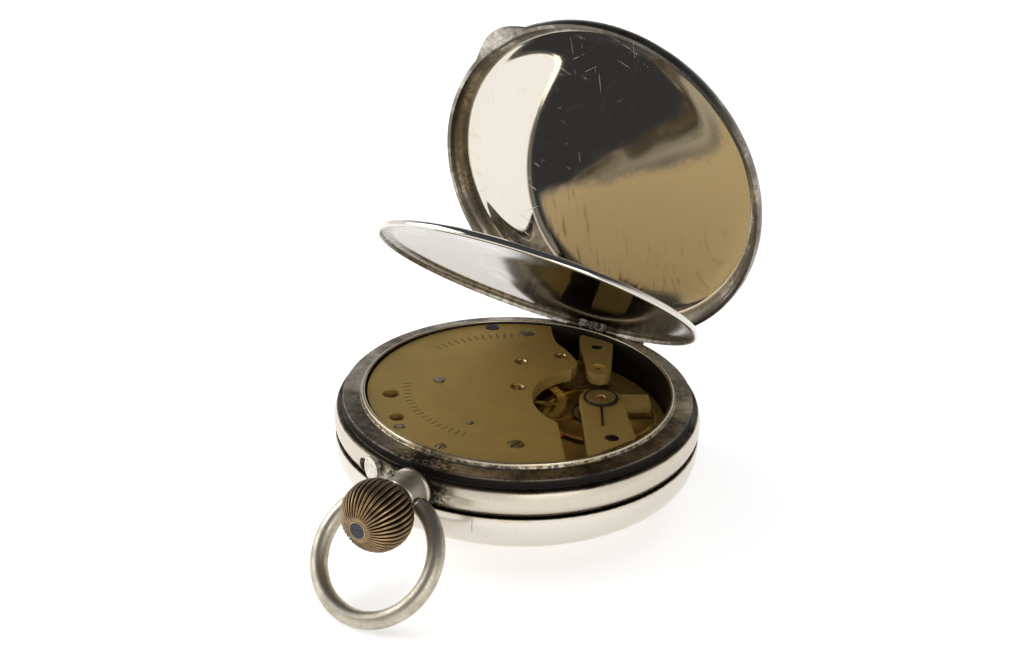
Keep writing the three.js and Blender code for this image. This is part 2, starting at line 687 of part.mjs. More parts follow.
function escapeCock() {
  const [z0, z1] = escapeCockZ;
  const outline = [[-0.7, 19.3], [5.0, 10.7], [5.6, 10.0], [6.4, 9.6], [7.3, 9.7], [8.0, 10.2],
    [8.3, 11.0], [8.1, 12.1], [4.4, 20.2], [-0.9, 20.2]];
  const insideBore = disc(mainPlate.r - 0.1, 0, 20, caseSegments);
  const plate = sheet(outline, mainPlate.z1 + FIT, z1).intersect(insideBore);
  const relief = disc(17.6, 0, z0, caseSegments);
  return cut(plate, relief, hole(escapeAt, jewelR), screwSeat(escapeScrewAt, screws.escapeCock));
}

// An arbor with thin pivots at both ends.
function arbor(point, r, endR, pivotZ0, [z0, z1], pivotZ1) {
  return at(point, turned([[0, pivotZ0], [endR, pivotZ0], [endR, z0], [r, z0], [r, z1], [endR, z1],
    [endR, pivotZ1], [0, pivotZ1]], 8));
}

// A wheel with spokes: the rim and hub are joined by the arms that the openings leave.
function crossedOut(point, outline, [z0, z1], rimR, hubR, arms, armWidth) {
  const wheel = sheet(outline, z0, z1);
  const windows = ring(rimR, hubR, z0 - 1, z1 + 1, 16);
  const spoke = box([0, rimR + 0.5], [-armWidth / 2, armWidth / 2], [z0 - 2, z1 + 2]);
  const spokesOff = Array.from({ length: arms }, (_, i) => spoke.rotate([0, 0, (i * 360) / arms + 20]));
  return at(point, cut(wheel, cut(windows, ...spokesOff)));
}

const pinion = (point, outline, [z0, z1]) => at(point, sheet(outline, z0, z1));

const [barrelR, centrePinionR] = meshRadii(barrelAt, centre, teeth.barrel, teeth.centrePinion);
const [centreR, thirdPinionR] = meshRadii(centre, thirdAt, teeth.centre, teeth.thirdPinion);
const [thirdR, fourthPinionR] = meshRadii(thirdAt, fourthAt, teeth.third, teeth.fourthPinion);
const [fourthR, escapePinionR] = meshRadii(fourthAt, escapeAt, teeth.fourth, teeth.escapePinion);
const [ratchetR, crownWheelR] = meshRadii(barrelAt, crownWheelAt, teeth.ratchet, teeth.crownWheel);
const [cannonR, minuteR] = meshRadii(centre, minuteWheelAt, teeth.cannon, teeth.minute);
const [minutePinionR, hourR] = meshRadii(minuteWheelAt, centre, teeth.minutePinion, teeth.hour);
const drumR = barrelR - 0.6;
const barrelPivotR = barrelArborR - 0.3;
const crownStudR = 0.45;
const crownSeatR = 0.8;
const clickPivotAt = polar(ratchetR + 1.6, 118, barrelAt);

function barrel() {
  const flange = sheet(toothed(teeth.barrel, barrelR, bearing(barrelAt, centre)), ...levels.barrelTeeth);
  const drum = ring(drumR, drumR - 0.4, ...levels.barrelDrum, 28);
  return at(barrelAt, cut(join(flange, drum), disc(barrelArborR + RUN, 11, 13, 20)));
}

const barrelCover = () => at(barrelAt, ring(drumR - 0.47, barrelArborR + RUN, ...levels.barrelCover, 28));

function barrelArbor() {
  const [low, high] = arborSpan;
  const top = topPlate.z1 + 0.15;
  const lowerR = barrelArborR - 0.2;
  return at(barrelAt, turned([[0, 9.0], [lowerR, 9.0], [lowerR, low - FIT], [barrelArborR, low - FIT],
    [barrelArborR, high], [barrelPivotR, high], [barrelPivotR, top], [0, top]], 16));
}

// A strip wound in a spiral: its middle line grows evenly with the angle.
function spiral(innerR, growth, turns, thickness) {
  const steps = turns * 14;
  const strip = (offset) => Array.from({ length: steps + 1 }, (_, i) =>
    polar(innerR + (growth * i) / steps + offset, (i * 360 * turns) / steps));
  return [...strip(0), ...strip(thickness).reverse()];
}

function mainspring() {
  const outline = spiral(barrelArborR + 1.4, drumR - 3.6, 4, 0.3);
  return at(barrelAt, sheet(outline, ...levels.mainspring));
}

function ratchetWheel() {
  const outline = toothed(teeth.ratchet, ratchetR, bearing(barrelAt, crownWheelAt));
  return at(barrelAt, cut(sheet(outline, ...levels.ratchet), disc(barrelArborR + 0.02, 10, 12, 20)));
}

// Spur teeth for the ratchet wheel and standing face teeth for the winding pinion.
function crownWheel() {
  const outline = toothed(teeth.crownWheel, crownWheelR,
    gapBearing(crownWheelAt, barrelAt, teeth.crownWheel));
  const faceR = (teeth.crownFace / teeth.windingPinion) * 0.88;
  const face = Array.from({ length: teeth.crownFace }, (_, i) =>
    box([faceR - 0.4, faceR + 0.4], [-0.11, 0.11], levels.crownFace)
      .rotate([0, 0, -90 + ((i + 0.5) * 360) / teeth.crownFace]));
  const body = join(sheet(outline, ...levels.ratchet), ...face);
  return at(crownWheelAt, cut(body, disc(crownSeatR + RUN, 10, 12, 20)));
}

function crownWheelStud() {
  const [low, high] = levels.ratchet;
  const top = topPlate.z1 + 0.1;
  return at(crownWheelAt, turned([[0, 9.5], [crownStudR, 9.5], [crownStudR, low - 0.1],
    [crownSeatR, low - 0.1], [crownSeatR, high + 0.05], [crownStudR, high + 0.25],
    [crownStudR, top - 0.05], [0, top]], 16));
}

function click() {
  const [low, high] = [levels.ratchet[0], levels.ratchet[1] - 0.05];
  const tip = polar(ratchetR + 0.45, 100, barrelAt);
  const heel = [330, 230, 140, 60].map((angle, i) => polar(i === 0 ? 1.0 : 0.9, angle, clickPivotAt));
  const lever = sheet([tip, polar(ratchetR + 0.5, 104, barrelAt), ...heel], low, high);
  return cut(lever, hole(clickPivotAt, 0.45));
}

function clickStud() {
  const [low, high] = [mainPlate.z1 + FIT, levels.ratchet[1] + 0.05];
  return at(clickPivotAt, turned([[0, low], [0.38, low], [0.38, high], [0.75, high], [0.75, high + 0.25],
    [0, high + 0.25]], 16));
}

function centreWheel() {
  const wheel = crossedOut(centre, toothed(teeth.centre, centreR, bearing(centre, thirdAt)),
    levels.centreWheel, 5.6, 1.2, 4, 0.7);
  const leaves = pinion(centre, toothed(teeth.centrePinion, centrePinionR,
    gapBearing(centre, barrelAt, teeth.centrePinion)), levels.centrePinion);
  const tipZ = levels.minuteHand[0] - 0.1;
  return join(wheel, leaves, arbor(centre, 0.65, centreArborR, tipZ, arborSpan, topPlate.z1 + 0.1));
}

function thirdWheel() {
  const wheel = crossedOut(thirdAt, toothed(teeth.third, thirdR, bearing(thirdAt, fourthAt)),
    levels.thirdWheel, 4.5, 1.1, 4, 0.55);
  const leaves = pinion(thirdAt, toothed(teeth.thirdPinion, thirdPinionR,
    gapBearing(thirdAt, centre, teeth.thirdPinion)), levels.thirdPinion);
  return join(wheel, leaves, arbor(thirdAt, 0.32, pivotR, 9.3, arborSpan, topPlate.z1 - 0.1));
}

// The fourth arbor runs on through the dial to carry the seconds hand.
function fourthWheel() {
  const wheel = crossedOut(fourthAt, toothed(teeth.fourth, fourthR, bearing(fourthAt, escapeAt)),
    levels.fourthWheel, 4.4, 1.0, 4, 0.5);
  const leaves = pinion(fourthAt, toothed(teeth.fourthPinion, fourthPinionR,
    gapBearing(fourthAt, thirdAt, teeth.fourthPinion)), levels.fourthPinion);
  const tipZ = levels.secondsHand[0] - 0.15;
  return join(wheel, leaves, arbor(fourthAt, 0.32, pivotR, tipZ, arborSpan, topPlate.z1 - 0.1));
}

const palletAt = polar(palletReach, bearing(escapeAt, balanceAt), escapeAt);
const escapeTipR = palletReach * Math.cos(radians(30)) - RUN;

function escapeWheel() {
  const step = 360 / teeth.escape;
  const outline = [];
  for (let i = 0; i < teeth.escape; i += 1) {
    const base = bearing(escapeAt, balanceAt) + 6 + i * step;
    outline.push(polar(escapeTipR, base), polar(escapeTipR - 0.02, base + 1.6));
    outline.push(polar(1.95, base + 5), polar(1.95, base + step - 4));
  }
  const wheel = crossedOut(escapeAt, outline, levels.escapeWheel, 1.6, 0.7, 4, 0.35);
  const leaves = pinion(escapeAt, toothed(teeth.escapePinion, escapePinionR,
    gapBearing(escapeAt, fourthAt, teeth.escapePinion)), levels.escapePinion);
  return join(wheel, leaves, arbor(escapeAt, 0.27, pivotR, 9.3, arborSpan, escapeCockZ[1] - 0.2));
}

// The lever: two pallets over the escape wheel and a fork that stops short of the
// impulse pin's path.
function palletFork() {
  const aim = bearing(escapeAt, balanceAt);
  const reach = distance(palletAt, balanceAt) - 1.3;
  const p = (along, across) => {
    const [x, y] = polar(along, aim, palletAt);
    return polar(across, aim + 90, [x, y]);
  };
  const stone = (side) => [p(-0.3, side * 0.2), p(-0.78, side * 1.62), p(-0.35, side * 1.85),
    p(0.2, side * 0.35)];
  const arms = [stone(1), stone(-1).reverse()].map((outline) => sheet(outline, ...levels.lever));
  const lever = sheet([p(0.3, -0.45), p(reach - 1.2, -0.18), p(reach, -0.6), p(reach, -0.22),
    p(reach - 0.6, 0), p(reach, 0.22), p(reach, 0.6), p(reach - 1.2, 0.18), p(0.3, 0.45),
    p(-0.45, 0.35), p(-0.45, -0.35)], ...levels.lever);
  const staff = arbor(palletAt, 0.3, pivotR, 9.3, [arborSpan[0], levels.lever[1] + 0.45], 12.0);
  return join(lever, ...arms, staff);
}

function balanceWheel() {
  const { rimR, rimWall, z0, z1, screwReach, screws: count } = balance;
  const rim = ring(rimR, rimR - rimWall, z0, z1, 36);
  const arms = box([-rimR + 0.2, rimR - 0.2], [-0.45, 0.45], [z0 + 0.1, z0 + 0.45]).rotate([0, 0, 35]);
  const weights = Array.from({ length: count }, (_, i) =>
    disc(0.33, rimR - 0.3, rimR + screwReach, 6).rotate([0, 90, 0])
      .translate([0, 0, (z0 + z1) / 2]).rotate([0, 0, ((i + 0.5) * 360) / count]));
  const [rollerZ0, rollerZ1] = levels.roller;
  const impulsePin = at([0, 1.0], disc(0.12, rollerZ0 - 0.35, rollerZ0 + FIT, 8));
  const roller = join(disc(1.15, rollerZ0, rollerZ1, 16), impulsePin);
  const aim = bearing(balanceAt, palletAt) - 90;
  const [staffLow, staffHigh] = [arborSpan[0], cockZ[0] - 0.1];
  const tip = cockZ[1] - 0.7;
  const staff = turned([[0, 9.3], [pivotR, 9.3], [pivotR, staffLow], [0.35, staffLow], [0.35, z0 + FIT],
    [0.6, z0 + FIT], [0.6, z1 - 0.2], [0.35, z1 - 0.2], [0.35, staffHigh], [pivotR, staffHigh],
    [pivotR, tip], [0, tip]], 12);
  return at(balanceAt, join(rim, arms, ...weights, roller.rotate([0, 0, aim]), staff));
}

const hairspring = () => at(balanceAt, sheet(spiral(0.65, hairspringR - 0.8, 4, 0.14), ...levels.hairspring));

// ---- Dial side ---------------------------------------------------------------------

function dialPlate() {
  const plate = disc(dial.r, dial.z0, dial.z1, caseSegments);
  const sunkSeconds = at(fourthAt, disc(4.2, 0, dial.z0 + 0.15, 32));
  return cut(plate, hole(centre, hourPipeR + 0.15), hole(fourthAt, pivotR + 0.12), sunkSeconds);
}

function cannonPinion() {
  const outline = toothed(teeth.cannon, cannonR, bearing(centre, minuteWheelAt));
  const leaves = sheet(outline, ...levels.cannonPinion);
  const pipe = disc(cannonOuterR, levels.minuteHand[0] - FIT, levels.cannonPinion[0] + 0.15, 20);
  return cut(join(leaves, pipe), disc(centreArborR + FIT, 0, 20, 16));
}

const minuteStudR = 0.25;

function minuteWheel() {
  const wheel = sheet(toothed(teeth.minute, minuteR,
    gapBearing(minuteWheelAt, centre, teeth.minute)), ...levels.minuteWheel);
  const leaves = sheet(toothed(teeth.minutePinion, minutePinionR, bearing(minuteWheelAt, centre)),
    ...levels.minutePinion);
  return at(minuteWheelAt, cut(join(wheel, leaves), disc(minuteStudR + RUN, 0, 20, 12)));
}

const minuteStud = () => at(minuteWheelAt, disc(minuteStudR, dial.z1 + 0.1, mainPlate.z0 - FIT, 12));

function hourWheel() {
  const wheel = sheet(toothed(teeth.hour, hourR, gapBearing(centre, minuteWheelAt, teeth.hour)),
    ...levels.hourWheel);
  const pipe = disc(hourPipeR, levels.hourHand[0] - FIT, levels.hourWheel[0] + 0.2, 24);
  return cut(join(wheel, pipe), disc(cannonOuterR + RUN, 0, 20, 20));
}

// A spade hand pointing along its bearing, with a hub that fits its arbor.
function hand(point, towards, length, width, hubR, arborR, [z0, z1]) {
  const blade = [[-length * 0.12, -width / 2], [length * 0.62, -width / 2], [length * 0.72, -width * 1.4],
    [length, 0], [length * 0.72, width * 1.4], [length * 0.62, width / 2], [-length * 0.12, width / 2]];
  const flat = join(sheet(blade, z0, z1), disc(hubR, z0, z1, 20));
  return at(point, cut(flat, disc(arborR + 0.02, 0, 20, 16)).rotate([0, 0, towards]));
}

// ---- Assembly ----------------------------------------------------------------------

function addCase() {
  place(watch, 'case_centre', caseCentre(), silver);
  place(watch, 'pendant', pendant(), nickel);
  place(watch, 'front_lid', frontLid(), silver);
  place(watch, 'bezel', bezel(), silver);
  place(watch, 'crystal', crystal(), glass);
  place(watch, 'back_cover_hinge_pin', hingePin(backHinge), steel);
  place(watch, 'cuvette_hinge_pin', hingePin(cuvetteHinge), steel);
  place(watch, 'front_lid_hinge_pin', hingePin(lidHinge), steel);
  place(openedLid(backHinge, backCoverAngle), 'back_cover', backCover(), silver);
  place(openedLid(cuvetteHinge, cuvetteAngle), 'cuvette', cuvette(), silver);
}

function addPendantPieces() {
  place(watch, 'bow', bow(), nickel);
  place(watch, 'crown', crown(), crownBrass);
  place(watch, 'crown_cap', crownCap(), darkSteel);
  place(watch, 'winding_stem', windingStem(), steel);
  place(watch, 'winding_pinion', windingPinion(), steel);
  place(watch, 'stem_sleeve', stemSleeve(), steel);
  place(watch, 'lid_catch', lidCatch(), steel);
  place(watch, 'setting_pin', settingPiece(settingPinR, boreR + 0.4, bandR - 0.45), steel);
  place(watch, 'setting_pin_guard', settingGuard(), silver);
}

function addPlates() {
  place(movement, 'main_plate', mainPlateSolid(), gilt);
  place(movement, 'three_quarter_plate', threeQuarterPlate(), gilt);
  place(movement, 'balance_cock', balanceCock(), gilt);
  place(movement, 'escape_cock', escapeCock(), gilt);
  place(movement, 'regulator', regulator(), blueSteel);
  place(movement, 'plate_screw_1', screw(plateScrewAt[0], screws.plate, 15), steel);
  place(movement, 'plate_screw_2', screw(plateScrewAt[1], screws.plate, 80), steel);
  place(movement, 'small_screw_1', screw(smallScrewAt[0], screws.small, 40), steel);
  place(movement, 'small_screw_2', screw(smallScrewAt[1], screws.small, 100), steel);
  place(movement, 'case_screw', screw(caseScrewAt, screws.dog, 60), steel);
  place(movement, 'balance_cock_screw', screw(cockScrewAt, screws.cock, 30), blueSteel);
  place(movement, 'escape_cock_screw', screw(escapeScrewAt, screws.escapeCock, 55), blueSteel);
}

function addWinding() {
  place(movement, 'barrel', barrel(), brass);
  place(movement, 'barrel_cover', barrelCover(), brass);
  place(movement, 'barrel_arbor', barrelArbor(), steel);
  place(movement, 'mainspring', mainspring(), blueSteel);
  place(movement, 'ratchet_wheel', ratchetWheel(), steel);
  place(movement, 'crown_wheel', crownWheel(), steel);
  place(movement, 'crown_wheel_stud', crownWheelStud(), steel);
  place(movement, 'click', click(), steel);
  place(movement, 'click_stud', clickStud(), steel);
}

function addTrain() {
  place(movement, 'centre_wheel', centreWheel(), brass);
  place(movement, 'third_wheel', thirdWheel(), brass);
  place(movement, 'fourth_wheel', fourthWheel(), brass);
  place(movement, 'escape_wheel', escapeWheel(), brass);
  place(movement, 'pallet_fork', palletFork(), steel);
  place(movement, 'balance_wheel', balanceWheel(), copper);
  place(movement, 'hairspring', hairspring(), blueSteel);
}

function addDialSide() {
  place(movement, 'dial', dialPlate(), enamel);
  place(movement, 'cannon_pinion', cannonPinion(), steel);
  place(movement, 'minute_wheel', minuteWheel(), brass);
  place(movement, 'minute_wheel_stud', minuteStud(), steel);
  place(movement, 'hour_wheel', hourWheel(), brass);
  place(movement, 'minute_hand',
    hand(centre, 30, 16.5, 0.7, 1.1, cannonOuterR, levels.minuteHand), blueSteel);
  place(movement, 'hour_hand',
    hand(centre, 195, 10.5, 0.9, 1.4, hourPipeR, levels.hourHand), blueSteel);
  place(movement, 'seconds_hand',
    hand(fourthAt, 250, 3.6, 0.25, 0.5, pivotR, levels.secondsHand), blueSteel);
}

addCase();
addPendantPieces();
addPlates();
addWinding();
addTrain();
addDialSide();

export default watch;
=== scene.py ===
"""A silver hunter pocket watch lying on its front lid, with its back cover and inner cover
open over a gilt three-quarter-plate movement. Shapes are worked out in millimetres."""
import math

import bmesh
import bpy
import numpy as np
from mathutils import Matrix, Vector


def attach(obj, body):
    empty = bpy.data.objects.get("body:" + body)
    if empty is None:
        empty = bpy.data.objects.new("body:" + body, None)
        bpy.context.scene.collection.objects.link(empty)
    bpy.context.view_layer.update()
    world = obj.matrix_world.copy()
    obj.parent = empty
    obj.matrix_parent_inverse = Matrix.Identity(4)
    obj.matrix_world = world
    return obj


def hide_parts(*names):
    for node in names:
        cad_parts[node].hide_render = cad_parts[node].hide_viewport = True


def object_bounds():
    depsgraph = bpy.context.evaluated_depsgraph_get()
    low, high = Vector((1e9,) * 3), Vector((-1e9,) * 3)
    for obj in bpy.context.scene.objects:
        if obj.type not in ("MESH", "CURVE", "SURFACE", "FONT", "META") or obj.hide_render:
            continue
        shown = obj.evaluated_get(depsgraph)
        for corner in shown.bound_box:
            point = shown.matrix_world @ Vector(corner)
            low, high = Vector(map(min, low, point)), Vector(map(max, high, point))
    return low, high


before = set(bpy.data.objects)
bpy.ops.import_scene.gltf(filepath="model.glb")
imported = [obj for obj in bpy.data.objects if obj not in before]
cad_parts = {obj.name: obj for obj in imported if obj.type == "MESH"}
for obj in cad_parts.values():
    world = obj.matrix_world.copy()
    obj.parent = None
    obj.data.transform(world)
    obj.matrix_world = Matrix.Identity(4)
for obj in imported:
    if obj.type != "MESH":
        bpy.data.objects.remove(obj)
cad_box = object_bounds()

# ---- Stage -----------------------------------
# A white sweep of paper under a pale ceiling, lit by soft boxes on both sides. The camera
# looks down on the watch from its front right.

azimuth, elevation, roll = map(math.radians, (30.24, 24.97, 1.45))
back = Vector((math.sin(azimuth) * math.cos(elevation), -math.cos(azimuth) * math.cos(elevation),
               math.sin(elevation)))
right = Vector((math.cos(azimuth), math.sin(azimuth), 0))
up = back.cross(right)
turned_right = right * math.cos(roll) + up * math.sin(roll)
turned_up = up * math.cos(roll) - right * math.sin(roll)

lens = bpy.data.cameras.new("camera")
lens.lens = 45.94
lens.sensor_width = 36
camera = bpy.data.objects.new("camera", lens)
bpy.context.scene.collection.objects.link(camera)
aim = Vector((-0.01039, 0.01583, 0.015))
camera.matrix_world = (Matrix.Translation(aim + back * 0.1961)
                       @ Matrix((turned_right, turned_up, back)).transposed().to_4x4())
bpy.context.scene.camera = camera


class Wire:
    """An output socket. Arithmetic on it adds Math nodes, so a mask reads as a formula."""

    def __init__(self, finish, socket):
        self.finish = finish
        self.socket = socket

    def math(self, operation, *values):
        return self.finish.node("Math", {"operation": operation}, dict(enumerate(values)))

    def __add__(self, other):
        return self.math("ADD", self, other)

    def __sub__(self, other):
        return self.math("SUBTRACT", self, other)

    def __rsub__(self, other):
        return self.math("SUBTRACT", other, self)

    def __mul__(self, other):
        return self.math("MULTIPLY", self, other)

    def __pow__(self, other):
        return self.math("POWER", self, other)

    def __abs__(self):
        return self.math("ABSOLUTE", self)

    __radd__ = __add__

    def or_(self, other):
        return self.math("MAXIMUM", self, other)

    def rises(self, low, high):
        """0 at low, 1 at high, smooth between. With high under low it falls instead."""
        low, high, start, end = (low, high, 0, 1) if low < high else (high, low, 1, 0)
        ends = {"From Min": low, "From Max": high, "To Min": start, "To Max": end}
        return self.finish.node("MapRange", {"interpolation_type": "SMOOTHSTEP"}, {"Value": self, **ends})

    def near(self, middle, width):
        """1 at the middle value, falling to 0 at width on either side."""
        return abs(self - middle).rises(width, 0)


class Finish:
    """A procedural finish. node() adds any shader node: its settings first, then its sockets."""

    def __init__(self, name, shader=None):
        self.material = shader or bpy.data.materials.new(name)
        self.material.use_nodes = True
        self.tree = self.material.node_tree
        self.tree.nodes.clear()

    def node(self, kind, settings=None, sockets=None, output=0):
        made = self.tree.nodes.new("ShaderNode" + kind)
        for setting, value in (settings or {}).items():
            setattr(made, setting, value)
        for slot, value in (sockets or {}).items():
            if isinstance(value, Wire):
                self.tree.links.new(value.socket, made.inputs[slot])
            else:
                made.inputs[slot].default_value = value
        return Wire(self, made.outputs[output]) if len(made.outputs) else None

    def noise(self, where, scale, detail=4.0, rough=0.6):
        sockets = {"Vector": where, "Scale": scale, "Detail": detail, "Roughness": rough}
        return self.node("TexNoise", {}, sockets)

    def mix(self, share, first, second):
        return self.node("Mix", {"data_type": "RGBA"}, {0: share, 6: first, 7: second}, 2)

    def stretched(self, where, turn, reach):
        """Coordinates turned about Z, then drawn out by a reach in mm along each axis."""
        return self.node("Mapping", {"vector_type": "TEXTURE"},
                         {"Vector": where, "Rotation": (0, 0, turn), "Scale": reach})

    def surface(self, color, roughness, metallic=1.0, height=None, depth=0.02, **constants):
        """Ends the finish in a Principled shader. The height is in units of depth, in mm."""
        sockets = {"Base Color": color, "Roughness": roughness, "Metallic": metallic, **constants}
        if height is not None:
            bump = {"Height": height, "Strength": 1.0, "Distance": depth * 0.001}
            sockets["Normal"] = self.node("Bump", {}, bump)
        shader = self.node("BsdfPrincipled", {}, sockets)
        self.node("OutputMaterial", {}, {"Surface": shader})
        return self.material


def studio_floor():
    paper = Finish("sweep_paper")
    where = paper.node("TexCoord", {}, {}, "Object")
    fibre = paper.noise(where, 400.0)
    glow = {"Emission Color": (1, 1, 1, 1), "Emission Strength": 0.4}
    material = paper.surface((0.93, 0.93, 0.93, 1), 0.85, 0.0, fibre, 0.02, **glow)
    side = 2.0
    floor_z = cad_box[0].z - 0.00002
    corners = [(x * side, y * side, floor_z) for x, y in ((-1, -1), (1, -1), (1, 1), (-1, 1))]
    sweep = bpy.data.meshes.new("sweep")
    sweep.from_pydata(corners, [], [(0, 1, 2, 3)])
    sweep.materials.append(material)
    floor = bpy.data.objects.new("sweep", sweep)
    bpy.context.scene.collection.objects.link(floor)


def soft_box(name, place, target, width, height, watts, mirrored=True):
    light = bpy.data.lights.new(name, "AREA")
    light.shape = "RECTANGLE"
    light.size, light.size_y = width, height
    light.energy = watts
    box = bpy.data.objects.new(name, light)
    box.location = place
    box.rotation_euler = (Vector(place) - Vector(target)).to_track_quat("Z", "Y").to_euler()
    box.visible_glossy = mirrored
    bpy.context.scene.collection.objects.link(box)


def studio_room():
    """White walls near the floor that darken to a grey ceiling."""
    world = bpy.data.worlds.new("studio")
    bpy.context.scene.world = world
    room = Finish("studio", world)
    way = room.node("TexCoord", {}, {}, "Generated")
    height = room.node("SeparateXYZ", {}, {"Vector": way}, "Z")
    wall = room.mix(height.rises(0.12, 0.62), (1.0, 1.0, 1.0, 1), (0.06, 0.065, 0.08, 1))
    light = room.node("Background", {}, {"Color": wall, "Strength": 1.0})
    room.node("OutputWorld", {}, {"Surface": light})


studio_floor()
studio_room()
soft_box("top_light", (-0.05, 0.05, 0.8), (0, 0, 0), 1.2, 1.2, 4.5, mirrored=False)
soft_box("left_light", (-0.7, -0.25, 0.45), (0, 0, 0.02), 0.7, 0.5, 3.6)
soft_box("right_light", (0.6, -0.5, 0.35), (0, 0, 0.02), 0.5, 0.3, 1.6)
bpy.context.scene.view_settings.view_transform = "Standard"

# ---- Case centre -----------------------------
# The middle of the case: a turned silver band with a flat ring that the inner cover shuts
# on and a raised rim round the movement. Soldered knuckles carry the three lids.

ring_z, split_z, shoulder_z, rim_z = 15.0, 10.05, 13.7, 15.7
setting_bearing, setting_z = -20.5, 11.6
band_r, ring_r, seat_r, bore_r = 25.0, 23.8, 21.4, 20.8
stem_z = 12.3
clearance = 0.08
back_hinge = {"y": 24.69, "z": 13.63, "r": 0.7, "pin": 0.3, "half": 7.0, "leaf": 2.3}
cuvette_hinge = {"y": 22.26, "z": 15.475, "r": 0.42, "pin": 0.18, "half": 4.9, "leaf": 2.25}
lid_hinge = {"y": 24.8, "z": 10.05, "r": 0.6, "pin": 0.28, "half": 6.0, "leaf": 1.9}


def build(name, corners, faces):
    """A closed mesh from corners in mm, with its doubles merged and its faces outward."""
    mesh = bpy.data.meshes.new(name)
    mesh.from_pydata((np.asarray(corners).reshape(-1, 3) * 0.001).tolist(), [], faces)
    work = bmesh.new()
    work.from_mesh(mesh)
    bmesh.ops.remove_doubles(work, verts=work.verts, dist=1e-7)
    bmesh.ops.recalc_face_normals(work, faces=work.faces)
    work.to_mesh(mesh)
    work.free()
    piece = bpy.data.objects.new(name, mesh)
    bpy.context.scene.collection.objects.link(piece)
    return piece


def quads(rows, columns, loop):
    """The quads of a grid whose columns close on themselves, and its rows too for a loop."""
    first = np.arange(rows * columns).reshape(rows, columns)
    beside = np.roll(first, -1, axis=1)
    grid = np.stack([first, beside, np.roll(beside, -1, axis=0), np.roll(first, -1, axis=0)], axis=-1)
    return (grid if loop else grid[:-1]).reshape(-1, 4).tolist()


def rounded(profile, radius, steps=4):
    """Rounds each corner of a closed profile: a quadratic arc from one edge to the next,
    starting at the radius from the corner, or less where an edge is short."""
    corner = np.asarray(profile, float)
    towards = [np.roll(corner, 1, axis=0) - corner, np.roll(corner, -1, axis=0) - corner]
    lengths = [np.linalg.norm(edge, axis=1, keepdims=True) for edge in towards]
    start, end = [corner + edge / length * np.minimum(radius, 0.45 * length)
                  for edge, length in zip(towards, lengths)]
    t = np.linspace(0, 1, steps + 1)[None, :, None]
    curve = (1 - t) ** 2 * start[:, None] + 2 * t * (1 - t) * corner[:, None] + t ** 2 * end[:, None]
    return curve.reshape(-1, 2)


def through(points, steps=8):
    """A Catmull-Rom curve through the points: each span is a cubic whose end slopes are
    half the chords between the neighbours."""
    p = np.asarray(points, float)
    p = np.vstack([2 * p[0] - p[1], p, 2 * p[-1] - p[-2]])
    a, b, c, d = p[:-3, None], p[1:-2, None], p[2:-1, None], p[3:, None]
    t = np.linspace(0, 1, steps, endpoint=False)[None, :, None]
    spans = 0.5 * (2 * b + (c - a) * t + (2 * a - 5 * b + 4 * c - d) * t ** 2
                   + (3 * b - a - 3 * c + d) * t ** 3)
    return np.vstack([spans.reshape(-1, p.shape[1]), p[-2]])


def turned(name, profile, segments=256, loop=True):
    """A turned piece: each [radius, height] goes round the Z axis by cosine and sine."""
    profile = np.asarray(profile, float)
    angle = np.linspace(0, 2 * np.pi, segments, endpoint=False)
    r, z = profile[:, :1], np.repeat(profile[:, 1:], segments, axis=1)
    corners = np.stack([r * np.cos(angle), r * np.sin(angle), z], axis=-1)
    return build(name, corners, quads(len(profile), segments, loop))


def about_z(degrees):
    return Matrix.Rotation(math.radians(degrees), 4, "Z")


def moved(piece, x=0.0, y=0.0, z=0.0, turn=None):
    """Turns a piece about the origin, then shifts it, in its mesh."""
    piece.data.transform(Matrix.Translation(Vector((x, y, z)) * 0.001) @ (turn or Matrix.Identity(4)))
    return piece


def rod(r, start, end, y=0.0, z=0.0, segments=48):
    """A round rod along X between two values, at y and z."""
    body = turned("rod", [[0, start], [r, start], [r, end], [0, end]], segments, loop=False)
    return moved(body, 0, y, z, Matrix.Rotation(math.pi / 2, 4, "Y"))


def block(x, y, z):
    """A squared tool with its corners at the ends of three ranges."""
    corners = [(i, j, k) for i in x for j in y for k in z]
    faces = [(0, 1, 3, 2), (4, 6, 7, 5), (0, 4, 5, 1), (2, 3, 7, 6), (0, 2, 6, 4), (1, 5, 7, 3)]
    return build("block", corners, faces)


def applied(piece):
    """Writes what a piece's modifiers make into its mesh, and takes them off."""
    evaluated = piece.evaluated_get(bpy.context.evaluated_depsgraph_get())
    done = bpy.data.meshes.new_from_object(evaluated)
    piece.modifiers.clear()
    piece.data = done
    return piece


def shaped(piece, operation, *tools):
    """Cuts the tools from a piece, or joins them to it, and uses them up."""
    for tool in tools:
        change = piece.modifiers.new(operation, "BOOLEAN")
        change.operation = operation
        change.solver = "MANIFOLD"
        change.object = tool
        applied(piece)
        bpy.data.objects.remove(tool)
    return piece


def cut(piece, *tools):
    return shaped(piece, "DIFFERENCE", *tools)


def joined(piece, *parts):
    return shaped(piece, "UNION", *parts)


def fitted(piece, finish, slot, body, *nodes, place=None, smooth=35):
    """Finishes a piece: keeps where each point was made, puts it in its place and on its body."""
    mesh = piece.data
    mesh.materials.clear()
    mesh.materials.append(finish)
    made = np.empty(len(mesh.vertices) * 3, np.float32)
    mesh.vertices.foreach_get("co", made)
    mesh.attributes.new("made", "FLOAT_VECTOR", "POINT").data.foreach_set("vector", made * 1000)
    if place is not None:
        mesh.transform(place)
    mesh.shade_smooth()
    mesh.set_sharp_from_angle(angle=math.radians(smooth))
    if nodes:
        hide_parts(*nodes)
    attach(piece, body)
    return piece


def knuckles(hinge, sides, grow=0.0):
    """The knuckles of a hinge as rods: the lid's one between the leaves, or the fixed pair."""
    return [rod(hinge["r"] + grow, start, end, hinge["y"], hinge["z"]) for start, end in sides]


